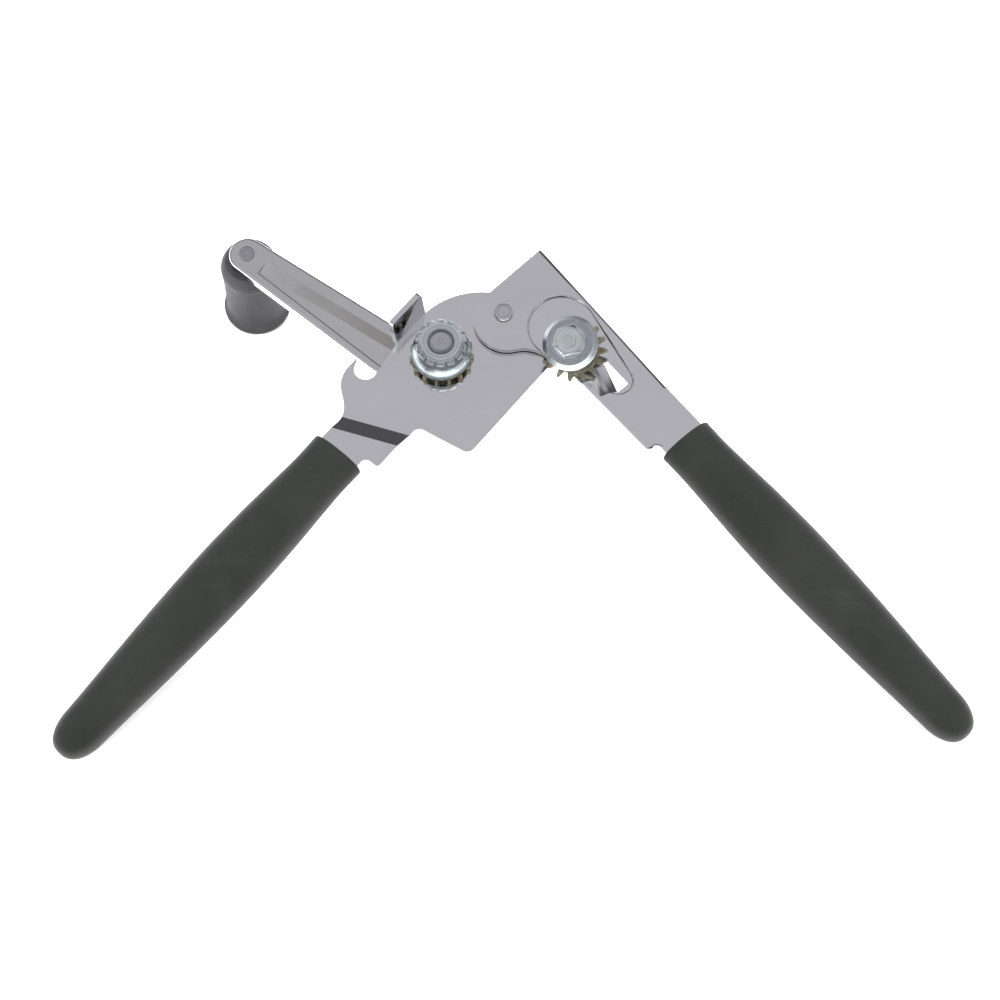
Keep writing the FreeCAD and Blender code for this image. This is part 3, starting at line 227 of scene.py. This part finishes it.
handling_wear.links.new(specks, end["Specks"])
print("group:", handling_wear.name)

# %% [markdown]
# ## Bright plate
#
# The two handle plates and the crank arm are pressed from cold-rolled strip and plated, so
# they mirror the room with a slight ripple. Roller marks run along each strip. A stretched
# noise makes them, turned to the direction of the piece it is on; a slow noise bends the
# mirror a little, as thin pressed sheet does. The crank arm gets a copy of the same plate
# with darker tones, and that darkening is painted shade.

# %% Material maker: bright plate
PLATE_DEEP = (0.67, 0.67, 0.705, 1.0)
PLATE_PALE = (0.745, 0.745, 0.77, 1.0)


def make_bright_plate(name, roll_turn, deep=PLATE_DEEP, pale=PLATE_PALE):
    material, tree, shader, place = new_material(name)
    wear = use_group(tree, handling_wear, Place=place)
    turned = add(tree, "ShaderNodeMapping", vector=place, rotation=(0.0, 0.0, -roll_turn))
    strip = add(tree, "ShaderNodeMapping", vector=turned.outputs[0], scale=(0.04, 1.0, 1.0))
    rolling = noise(tree, strip.outputs[0], 3800.0, detail=3.0, roughness=0.65)
    ripple = noise(tree, place, 38.0, detail=1.5, roughness=0.4)
    sheen = blend_colors(tree, wear["Smudges"], deep, pale)
    tint = blend_colors(tree, math_node(tree, "MULTIPLY", wear["Scratches"], 0.10),
                        sheen, (0.80, 0.80, 0.83, 1.0))
    base_gloss = ramp(tree, rolling, 0.35, 0.7, 0.06, 0.10)
    dull = math_node(tree, "MULTIPLY", wear["Smudges"], 0.05)
    worn = math_node(tree, "MULTIPLY", wear["Scratches"], 0.04)
    gloss = math_node(tree, "ADD", base_gloss, math_node(tree, "ADD", dull, worn))
    fine = add(tree, "ShaderNodeBump", strength=0.05, distance=0.00004, height=rolling)
    wavy = add(tree, "ShaderNodeBump", strength=0.2, distance=0.0002, height=ripple,
               normal=fine.outputs[0])
    fill(tree, shader.inputs["Base Color"], tint)
    fill(tree, shader.inputs["Roughness"], gloss)
    fill(tree, shader.inputs["Normal"], wavy.outputs[0])
    shader.inputs["Metallic"].default_value = 1.0
    return material


DRIVE_TURN = math.radians(-130.1)
CUTTER_TURN = math.radians(-49.35)
CRANK_TURN = math.radians(147.0)
drive_bright = make_bright_plate("bright_plate_drive", DRIVE_TURN)
cutter_bright = make_bright_plate("bright_plate_cutter", CUTTER_TURN)
# The crank arm's darker pair of tones is painted shade on a copy of the same bright plate.
crank_plate_painted_shade = make_bright_plate("bright_plate_crank", CRANK_TURN,
                                 (0.57, 0.565, 0.58, 1.0), (0.68, 0.675, 0.69, 1.0))

# %% [markdown]
# ## Zinc plate on turned pieces
#
# The wheels, washers, nut and rivets have a thin bluish zinc coat over tool marks. The same
# material is made once for each axis, so that the rings centre on the pivot, the crank
# shaft, the knob pin or the tilted cutter axle. Pieces on one axis can differ in tone: each
# pair of colours below holds the pale and the deep tone of the bands. The darker pairs of the
# collar, the cutting wheel and the knob pin are painted shade: darker copies of the same
# metal that stand in for the dark reflections these pieces show.

# %% Material maker: turned zinc
def make_turned_zinc(name, point, way, pale, deep, fineness, low_gloss, high_gloss):
    material, tree, shader, place = new_material(name)
    marks = use_group(tree, turning_marks, Place=place, Axis_Point=tuple(point),
                      Axis_Way=tuple(way), Fineness=fineness)
    wear = use_group(tree, handling_wear, Place=place, Smudge_Size=240.0, Speck_Size=1800.0)
    bands = ramp(tree, marks["Streak"], 0.35, 0.65)
    coat = blend_colors(tree, bands, deep, pale)
    cloud = ramp(tree, wear["Smudges"], 0.4, 0.7, 0.0, 0.35)
    coat = blend_colors(tree, cloud, coat, (0.50, 0.55, 0.60, 1.0))
    spots = math_node(tree, "MULTIPLY", wear["Specks"], 0.5)
    coat = blend_colors(tree, spots, coat, (0.30, 0.31, 0.32, 1.0))
    gloss = ramp(tree, marks["Height"], 0.3, 0.7, low_gloss, high_gloss)
    gloss = math_node(tree, "ADD", gloss, math_node(tree, "MULTIPLY", wear["Smudges"], 0.08))
    cut = add(tree, "ShaderNodeBump", strength=0.22, distance=0.00005, height=marks["Height"])
    fill(tree, shader.inputs["Base Color"], coat)
    fill(tree, shader.inputs["Roughness"], gloss)
    fill(tree, shader.inputs["Normal"], cut.outputs[0])
    shader.inputs["Metallic"].default_value = 1.0
    return material


UP = Vector((0.0, 0.0, 1.0))
ZINC = ((0.80, 0.83, 0.85, 1.0), (0.55, 0.60, 0.62, 1.0))
# The collar, wheel and knob pin pairs are darker than the plain metal: painted shade for their dark
# reflections.
COLLAR_PAINTED_SHADE = ((0.52, 0.57, 0.575, 1.0), (0.31, 0.36, 0.37, 1.0))
WHEEL_PAINTED_SHADE = ((0.48, 0.505, 0.53, 1.0), (0.335, 0.365, 0.39, 1.0))
SHAFT_END = ((0.62, 0.61, 0.64, 1.0), (0.48, 0.47, 0.50, 1.0))
RIVET = ((0.74, 0.74, 0.77, 1.0), (0.57, 0.57, 0.60, 1.0))
KNOB_PIN_PAINTED_SHADE = ((0.60, 0.60, 0.63, 1.0), (0.40, 0.40, 0.43, 1.0))
shaft_zinc = make_turned_zinc("zinc_on_shaft", shaft, UP, *ZINC, 9000.0, 0.14, 0.26)
# The collar, cutting wheel and knob pin finishes below use the darker pairs, which are painted shade.
collar_zinc_painted_shade = make_turned_zinc("zinc_on_collar_painted_shade", shaft, UP, *COLLAR_PAINTED_SHADE, 9000.0, 0.20, 0.32)
wheel_zinc_painted_shade = make_turned_zinc("zinc_on_wheel_painted_shade", axle, axle_way, *WHEEL_PAINTED_SHADE, 9000.0, 0.16, 0.27)
axle_zinc = make_turned_zinc("zinc_on_axle", axle, axle_way, *ZINC, 9000.0, 0.12, 0.22)
shaft_steel = make_turned_zinc("steel_on_shaft", shaft, UP, *SHAFT_END, 8000.0, 0.20, 0.32)
pivot_steel = make_turned_zinc("steel_on_pivot", pivot, UP, *RIVET, 7000.0, 0.20, 0.32)
pin_steel_painted_shade = make_turned_zinc("steel_on_knob_pin_painted_shade", knob_pin, UP, *KNOB_PIN_PAINTED_SHADE, 7000.0, 0.20, 0.32)
print("turned finishes: 7")

# %% [markdown]
# ## Yellow zinc gears
#
# Yellow passivation is a thin film whose colour drifts between straw, olive and rust. The
# drift is slow over a gear and quick at the tooth flanks, so two noises of different size
# pick between three colours.

# %% Material maker: yellow zinc
def make_yellow_zinc(name, point, way):
    material, tree, shader, place = new_material(name)
    marks = use_group(tree, turning_marks, Place=place, Axis_Point=tuple(point),
                      Axis_Way=tuple(way), Fineness=6000.0)
    wear = use_group(tree, handling_wear, Place=place, Smudge_Size=330.0, Speck_Size=1500.0)
    drift = noise(tree, place, 170.0, detail=2.0)
    share = ramp(tree, drift, 0.38, 0.62)
    film = blend_colors(tree, share, (0.56, 0.53, 0.38, 1.0), (0.42, 0.33, 0.19, 1.0))
    rubbed = ramp(tree, wear["Smudges"], 0.5, 0.68, 0.0, 0.6)
    film = blend_colors(tree, rubbed, film, (0.66, 0.67, 0.62, 1.0))
    spots = math_node(tree, "MULTIPLY", wear["Specks"], 0.6)
    film = blend_colors(tree, spots, film, (0.20, 0.15, 0.09, 1.0))
    gloss = ramp(tree, marks["Height"], 0.3, 0.7, 0.24, 0.42)
    cut = add(tree, "ShaderNodeBump", strength=0.3, distance=0.00008, height=marks["Height"])
    fill(tree, shader.inputs["Base Color"], film)
    fill(tree, shader.inputs["Roughness"], gloss)
    fill(tree, shader.inputs["Normal"], cut.outputs[0])
    shader.inputs["Metallic"].default_value = 1.0
    return material


drive_yellow = make_yellow_zinc("yellow_zinc_on_shaft", shaft, UP)
cutter_yellow = make_yellow_zinc("yellow_zinc_on_axle", axle, axle_way)

# %% [markdown]
# ## Black knob plastic
#
# The knob is moulded in black plastic with a satin skin. It is nearly black everywhere, so
# its form only shows in the gloss: a fine orange-peel bump, moulding flow marks along its
# length and a few pale dust specks.

# %% Material: knob plastic
knob_plastic, tree, shader, place = new_material("knob_plastic")
wear = use_group(tree, handling_wear, Place=place, Smudge_Size=90.0, Speck_Size=700.0, Speck_Share=0.10)
flow = add(tree, "ShaderNodeMapping", vector=place, scale=(1.0, 1.0, 0.12))
streaks = noise(tree, flow.outputs[0], 420.0, detail=2.0)
skin = blend_colors(tree, streaks, (0.030, 0.030, 0.032, 1.0), (0.042, 0.042, 0.045, 1.0))
dust = math_node(tree, "MULTIPLY", wear["Specks"], 0.35)
skin = blend_colors(tree, dust, skin, (0.16, 0.16, 0.17, 1.0))
gloss = ramp(tree, wear["Smudges"], 0.3, 0.7, 0.46, 0.60)
peel = noise(tree, place, 1600.0, detail=2.0)
grain = add(tree, "ShaderNodeBump", strength=0.25, distance=0.00006, height=peel)
fill(tree, shader.inputs["Base Color"], skin)
fill(tree, shader.inputs["Roughness"], gloss)
fill(tree, shader.inputs["Normal"], grain.outputs[0])
shader.inputs["Specular IOR Level"].default_value = 0.14

# %% [markdown]
# ## Sleeve rubber
#
# The handle sleeves are dipped or moulded rubber, very dark with a green cast. Rubber
# scatters light at grazing angles, which a low sheen gives, and its skin has a fine grain
# with pale dust that the hand leaves behind.

# %% Material: sleeve rubber
sleeve_rubber, tree, shader, place = new_material("grip_rubber")
wear = use_group(tree, handling_wear, Place=place, Scratch_Size=180.0, Smudge_Size=34.0,
                 Speck_Size=620.0, Speck_Share=0.13)
patches = ramp(tree, wear["Smudges"], 0.3, 0.72)
rubber = blend_colors(tree, patches, (0.0075, 0.0085, 0.0070, 1.0), (0.012, 0.013, 0.0115, 1.0))
dust = math_node(tree, "MULTIPLY", wear["Specks"], 0.30)
rubber = blend_colors(tree, dust, rubber, (0.08, 0.085, 0.08, 1.0))
scuffs = math_node(tree, "MULTIPLY", wear["Scratches"], 0.04)
rubber = blend_colors(tree, scuffs, rubber, (0.06, 0.065, 0.06, 1.0))
gloss = ramp(tree, patches, 0.0, 1.0, 0.44, 0.54)
pores = noise(tree, place, 2300.0, detail=3.0, roughness=0.6)
dents = noise(tree, place, 120.0, detail=2.0)
grain = add(tree, "ShaderNodeBump", strength=0.35, distance=0.00009, height=pores)
uneven = add(tree, "ShaderNodeBump", strength=0.25, distance=0.00035, height=dents,
             normal=grain.outputs[0])
fill(tree, shader.inputs["Base Color"], rubber)
fill(tree, shader.inputs["Roughness"], gloss)
fill(tree, shader.inputs["Normal"], uneven.outputs[0])
shader.inputs["Specular IOR Level"].default_value = 0.28
shader.inputs["Sheen Weight"].default_value = 0.04
shader.inputs["Sheen Roughness"].default_value = 0.6

# %% [markdown]
# ## Giving the metal pieces their finish
#
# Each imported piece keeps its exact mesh. Its material slot is the only thing that changes,
# so the cell is a table of piece to finish, and it prints any piece that was forgotten.

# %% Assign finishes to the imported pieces
finishes = {
    "drive_plate": drive_bright,
    "cutter_plate": cutter_bright,
    "crank_arm": crank_plate_painted_shade,
    "pivot_rivet": pivot_steel,
    "pivot_washer": pivot_steel,
    "drive_gear": drive_yellow,
    "cutter_gear": cutter_yellow,
    "knob": knob_plastic,
}
for name in ("drive_bush", "thrust_washer", "crank_shaft", "crank_washer", "crank_spacer",
             "crank_spring_washer", "feed_collar", "feed_wheel"):
    finishes[name] = shaft_zinc
# The knob pin, spacer and washer take the darker steel copy, whose darkness is painted shade.
for name in ("knob_pin", "knob_spacer", "knob_washer"):
    finishes[name] = pin_steel_painted_shade
for name in ("cutter_boss", "cutter_axle", "cutter_spring_washer", "wheel_washer",
             "cutter_nut", "cutter_sleeve", "cutter_wheel"):
    finishes[name] = axle_zinc
finishes["crank_shaft"] = shaft_steel
# The collar and the cutting wheel take darker zinc copies, whose darkness is painted shade.
finishes["feed_collar"] = collar_zinc_painted_shade
finishes["cutter_wheel"] = wheel_zinc_painted_shade
for name, material in finishes.items():
    piece = nodes[name]
    piece.data.materials.clear()
    piece.data.materials.append(material)
print("without a finish:", sorted(set(nodes) - set(finishes)))

# %% [markdown]
# ## Softened edges
#
# A pressed edge is never knife sharp. A narrow bevel on the plates, the crank arm and a few
# turned pieces catches a thin line of light. It is a modifier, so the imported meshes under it
# stay as they are. The weld before it joins the corners that neighbouring faces share.

# %% Narrow bevels
EDGE_WIDTHS = {
    "drive_plate": 0.30, "cutter_plate": 0.40, "crank_arm": 0.30, "cutter_nut": 0.14,
    "wheel_washer": 0.08, "pivot_rivet": 0.10, "feed_wheel": 0.12,
}
WELD_REACH = 0.002 * MM
SHARPEST_SMOOTH_EDGE = math.radians(42)
for name, width in EDGE_WIDTHS.items():
    weld = nodes[name].modifiers.new("weld", "WELD")
    weld.merge_threshold = WELD_REACH
    bevel = nodes[name].modifiers.new("soft edge", "BEVEL")
    bevel.width = width * MM
    bevel.segments = 2
    bevel.limit_method = "ANGLE"
    bevel.angle_limit = SHARPEST_SMOOTH_EDGE
    bevel.harden_normals = True
print("bevelled:", sorted(EDGE_WIDTHS))

# %% [markdown]
# ## The handle sleeves
#
# A sleeve is an oval tube, thin at its mouth, full in the palm and rounded at its end. It
# could be a cylinder pushed into shape, but the form is easier to control as a row of oval
# rings: a short table gives the width and depth at a few places along the sleeve, a smooth
# curve through the table gives them everywhere, and the rings are joined into one closed
# skin. The mouth turns over a soft lip into the flat slot that the steel tang fills.

# %% Sleeve measures
SLEEVE_MOUTH = 80.0 * MM
SLEEVE_LENGTH = 145.0 * MM
TANG_WIDTH = 17.0 * MM
TANG_END = 172.0 * MM
PLATE_FACE = pivot.z - 1.1 * MM
SLOT_GAP = 0.12 * MM
LIP_FLARE = 0.7 * MM
RING_POINTS = 72
SIDE_RINGS = 44
END_RINGS = 15
FIRST_SIDE_PLACE = 0.012
OVAL_SQUARENESS = 0.93
END_FULLNESS = 0.80
CREASE = math.radians(40)
# place along the sleeve as a share of its length, width and depth there in millimetres
sleeve_table = [
    (0.00, 21.3, 11.0), (0.07, 20.9, 12.4), (0.14, 21.6, 14.2),
    (0.27, 23.4, 15.2), (0.41, 24.0, 15.5), (0.55, 22.9, 15.2),
    (0.69, 21.0, 14.4), (0.83, 18.5, 13.3), (0.91, 17.3, 12.6),
]
print("sleeve table rows:", len(sleeve_table))

# %% A smooth curve through the table
def smooth_value(table, place, column):
    """Catmull-Rom value of one column at a place along the table."""
    last = len(table) - 1
    index = max(i for i in range(last) if table[i][0] <= place or i == 0)
    rows = [table[max(0, min(last, index + k))] for k in (-1, 0, 1, 2)]
    span = rows[2][0] - rows[1][0]
    step = (place - rows[1][0]) / span
    slopes = []
    for a, b in ((0, 2), (1, 3)):
        reach = rows[b][0] - rows[a][0]
        slopes.append((rows[b][column] - rows[a][column]) / reach * span if reach else 0.0)
    p, q = rows[1][column], rows[2][column]
    return ((2 * step**3 - 3 * step**2 + 1) * p + (step**3 - 2 * step**2 + step) * slopes[0]
            + (-2 * step**3 + 3 * step**2) * q + (step**3 - step**2) * slopes[1])


def oval(width, depth):
    """Points of one ring, a little fuller than an ellipse."""
    ring = []
    for k in range(RING_POINTS):
        turn = 2 * math.pi * k / RING_POINTS
        c, s = math.cos(turn), math.sin(turn)
        ring.append((width / 2 * math.copysign(abs(c) ** OVAL_SQUARENESS, c),
                     depth / 2 * math.copysign(abs(s) ** OVAL_SQUARENESS, s)))
    return ring


def slot_ring(width, depth):
    """Points of a rectangle, in the same directions as the oval's points."""
    ring = []
    for k in range(RING_POINTS):
        turn = 2 * math.pi * k / RING_POINTS
        c, s = math.cos(turn), math.sin(turn)
        reach = min(width / 2 / max(abs(c), 1e-9), depth / 2 / max(abs(s), 1e-9))
        ring.append((reach * c, reach * s))
    return ring


# %% Rings of a sleeve, from inside the slot out over the lip to the rounded end
def sleeve_rings(tang_depth):
    slot = slot_ring(TANG_WIDTH + SLOT_GAP, tang_depth + SLOT_GAP)
    rings = [(TANG_END - SLEEVE_MOUTH + 0.3 * MM, slot), (0.8 * MM, slot), (0.25 * MM, slot)]
    wide = slot_ring(TANG_WIDTH + LIP_FLARE, tang_depth + LIP_FLARE)
    rings.append((0.0, wide))
    mouth = sleeve_table[0]
    for along, inset in ((0.0, 1.0), (0.12, 0.55), (0.4, 0.2), (0.9, 0.02)):
        rings.append((along * MM, oval((mouth[1] - 2 * inset) * MM, (mouth[2] - 2 * inset) * MM)))
    tail = sleeve_table[-1]
    for k in range(1, SIDE_RINGS + 1):
        place = tail[0] * (FIRST_SIDE_PLACE + (1 - FIRST_SIDE_PLACE) * k / SIDE_RINGS)
        rings.append((place * SLEEVE_LENGTH, oval(smooth_value(sleeve_table, place, 1) * MM,
                                                  smooth_value(sleeve_table, place, 2) * MM)))
    for k in range(1, END_RINGS):
        turn = math.pi / 2 * k / END_RINGS
        share = math.cos(turn) ** END_FULLNESS
        place = (tail[0] + (1 - tail[0]) * math.sin(turn)) * SLEEVE_LENGTH
        rings.append((place, oval(tail[1] * share * MM, tail[2] * share * MM)))
    return rings


# %% Skin the rings into one closed mesh
def make_sleeve(name, heading, middle, tang_level, tang_depth):
    mesh = bpy.data.meshes.new(name)
    skin = bmesh.new()
    loops = []
    for along, ring in sleeve_rings(tang_depth):
        loops.append([skin.verts.new((SLEEVE_MOUTH + along, middle + y, tang_level + z))
                      for y, z in ring])
    for near, far in zip(loops, loops[1:]):
        for k in range(RING_POINTS):
            after = (k + 1) % RING_POINTS
            skin.faces.new((near[k], near[after], far[after], far[k]))
    skin.faces.new(reversed(loops[0]))
    tip = skin.verts.new((SLEEVE_MOUTH + SLEEVE_LENGTH, middle, tang_level))
    for k in range(RING_POINTS):
        skin.faces.new((loops[-1][k], loops[-1][(k + 1) % RING_POINTS], tip))
    bmesh.ops.recalc_face_normals(skin, faces=skin.faces)
    place = Matrix.Translation((pivot.x, pivot.y, PLATE_FACE)) @ Matrix.Rotation(heading, 4, "Z")
    bmesh.ops.transform(skin, matrix=place, verts=skin.verts)
    for face in skin.faces:
        face.smooth = True
    skin.to_mesh(mesh)
    skin.free()
    sleeve = bpy.data.objects.new(name, mesh)
    bpy.context.collection.objects.link(sleeve)
    mesh.materials.append(sleeve_rubber)
    mesh.set_sharp_from_angle(angle=CREASE)
    print(name, "faces:", len(mesh.polygons))
    return sleeve


DRIVE_TANG = {"middle": -9.9 * MM, "tang_level": 1.5 * MM, "tang_depth": 2.0 * MM}
CUTTER_TANG = {"middle": 17.0 * MM, "tang_level": 1.6 * MM, "tang_depth": 2.2 * MM}
drive_sleeve = make_sleeve("drive_sleeve", DRIVE_TURN, **DRIVE_TANG)
cutter_sleeve = make_sleeve("handle_sleeve", CUTTER_TURN, **CUTTER_TANG)
for sleeve, body, node in ((drive_sleeve, "drive_handle", "drive_grip"),
                           (cutter_sleeve, "cutter_handle", "cutter_grip")):
    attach(sleeve, body)
    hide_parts(node)

# %% [markdown]
# ## The floor
#
# The opener lies on three places: the free end of its knob and the tips of both sleeves. So
# the floor is tilted a little against the flat of the plates. The lowest point of each of the
# three pieces gives a first plane; seen from that plane other points may be lowest, so the
# search is repeated eight times.

# %% Find the resting plane
supports = [nodes["knob"], drive_sleeve, cutter_sleeve]
normal = Vector((0.0, 0.0, 1.0))
for attempt in range(8):
    feet = [min((item.matrix_world @ v.co for v in item.data.vertices), key=normal.dot)
            for item in supports]
    normal = (feet[1] - feet[0]).cross(feet[2] - feet[0]).normalized()
    if normal.z < 0:
        normal.negate()
print("floor normal", tuple(round(v, 3) for v in normal))

# %% Floor plane and its finish
floor_material, tree, shader, place = new_material("studio_floor")
mottle = noise(tree, place, 9.0, detail=3.0)
paper = blend_colors(tree, mottle, (0.93, 0.93, 0.93, 1.0), (0.95, 0.95, 0.95, 1.0))
fibre = noise(tree, place, 900.0, detail=2.0)
tooth = add(tree, "ShaderNodeBump", strength=0.1, distance=0.0001, height=fibre)
fill(tree, shader.inputs["Base Color"], paper)
fill(tree, shader.inputs["Roughness"], ramp(tree, mottle, 0.3, 0.7, 0.85, 0.95))
fill(tree, shader.inputs["Normal"], tooth.outputs[0])
shader.inputs["Specular IOR Level"].default_value = 0.1

floor_mesh = bpy.data.meshes.new("floor")
sheet = bmesh.new()
bmesh.ops.create_grid(sheet, x_segments=8, y_segments=8, size=4.0)
sheet.to_mesh(floor_mesh)
sheet.free()
floor = bpy.data.objects.new("floor", floor_mesh)
bpy.context.collection.objects.link(floor)
floor.rotation_mode = "QUATERNION"
floor.rotation_quaternion = normal.to_track_quat("Z", "Y")
floor.location = feet[0] - normal * 0.0002
floor_mesh.materials.append(floor_material)

# %% [markdown]
# ## Light
#
# Bright metal is lit by what it mirrors. The surroundings are a pale grey overhead, a dark
# band half-way down and white near the floor, like a tent with a gap at the back; that gives
# the plates an even grey and the bends their dark and bright lines. Three round patches in it
# are, in order: the gap at the back that the joggle mirrors, a pale one for the tilted cutter
# wheel, and a darker one for the crank's pressed panel. Three large soft lamps light the
# rubber and the floor.

# %% Surroundings
world = bpy.data.worlds.new("studio")
bpy.context.scene.world = world
world.use_nodes = True
tree = world.node_tree
tree.nodes.clear()
direction = tree.nodes.new("ShaderNodeTexCoord").outputs["Generated"]
height = add(tree, "ShaderNodeSeparateXYZ", in0=direction).outputs["Z"]
bands = add(tree, "ShaderNodeValToRGB", in0=height)
stops = [(0.0, 0.74), (0.30, 0.66), (0.42, 0.25), (0.52, 0.14),
         (0.62, 0.36), (0.80, 0.50), (0.93, 0.60), (1.0, 0.62)]
while len(bands.color_ramp.elements) < len(stops):
    bands.color_ramp.elements.new(0.5)
for element, (where, grey) in zip(bands.color_ramp.elements, stops):
    element.position = where
    element.color = (grey, grey, grey * 1.03, 1.0)
sky = bands.outputs[0]
patches = [
    ((0.05, 0.89, 0.43), 0.84, 0.93, (0.10, 0.10, 0.105, 1.0)),
    ((-0.40, -0.07, 0.915), 0.970, 0.990, (0.96, 0.96, 0.98, 1.0)),
    ((-0.19, 0.04, 0.98), 0.986, 0.996, (0.33, 0.325, 0.305, 1.0)),
]
for way, fade, full, grey in patches:
    nearness = vector_node(tree, "DOT_PRODUCT", direction, tuple(Vector(way).normalized()))
    sky = blend_colors(tree, ramp(tree, nearness, fade, full), sky, grey)
background = add(tree, "ShaderNodeBackground", color=sky, strength=1.0)
output = tree.nodes.new("ShaderNodeOutputWorld")
tree.links.new(background.outputs[0], output.inputs["Surface"])

# %% Soft lamps
def add_lamp(name, place, target, size, power):
    data = bpy.data.lights.new(name, "AREA")
    data.shape = "RECTANGLE"
    data.size, data.size_y = size
    data.energy = power
    lamp = bpy.data.objects.new(name, data)
    bpy.context.collection.objects.link(lamp)
    lamp.location = place
    lamp.visible_glossy = False
    lamp.rotation_euler = (Vector(target) - Vector(place)).to_track_quat("-Z", "Y").to_euler()
    return lamp


add_lamp("left_softbox", (-1.1, -0.5, 1.1), (0.0, 0.0, 0.0), (1.4, 1.4), 51.0)
add_lamp("right_softbox", (1.2, -0.2, 1.0), (0.0, 0.0, 0.0), (1.4, 1.4), 42.5)
add_lamp("back_softbox", (0.1, 1.3, 1.0), (0.0, 0.0, 0.0), (1.6, 1.0), 43.0)

# %% [markdown]
# ## Camera
#
# The opener is seen from above its cutting side, tipped about twenty degrees towards the
# sleeves, from nine tenths of a metre.

# %% Camera
TIP = math.radians(20.5)
CAMERA_FROM_PIVOT = Vector((-1.287, -378.7, 818.9)) * MM
camera_data = bpy.data.cameras.new("camera")
camera_data.lens = 88.2
camera_data.sensor_width = 36.0
camera_data.clip_end = 20.0
camera = bpy.data.objects.new("camera", camera_data)
bpy.context.collection.objects.link(camera)
camera.location = pivot + CAMERA_FROM_PIVOT
camera.rotation_euler = (TIP, 0.0, 0.0)
bpy.context.scene.camera = camera
bpy.context.scene.view_settings.view_transform = "Standard"
print("camera at", tuple(round(v, 3) for v in camera.location))
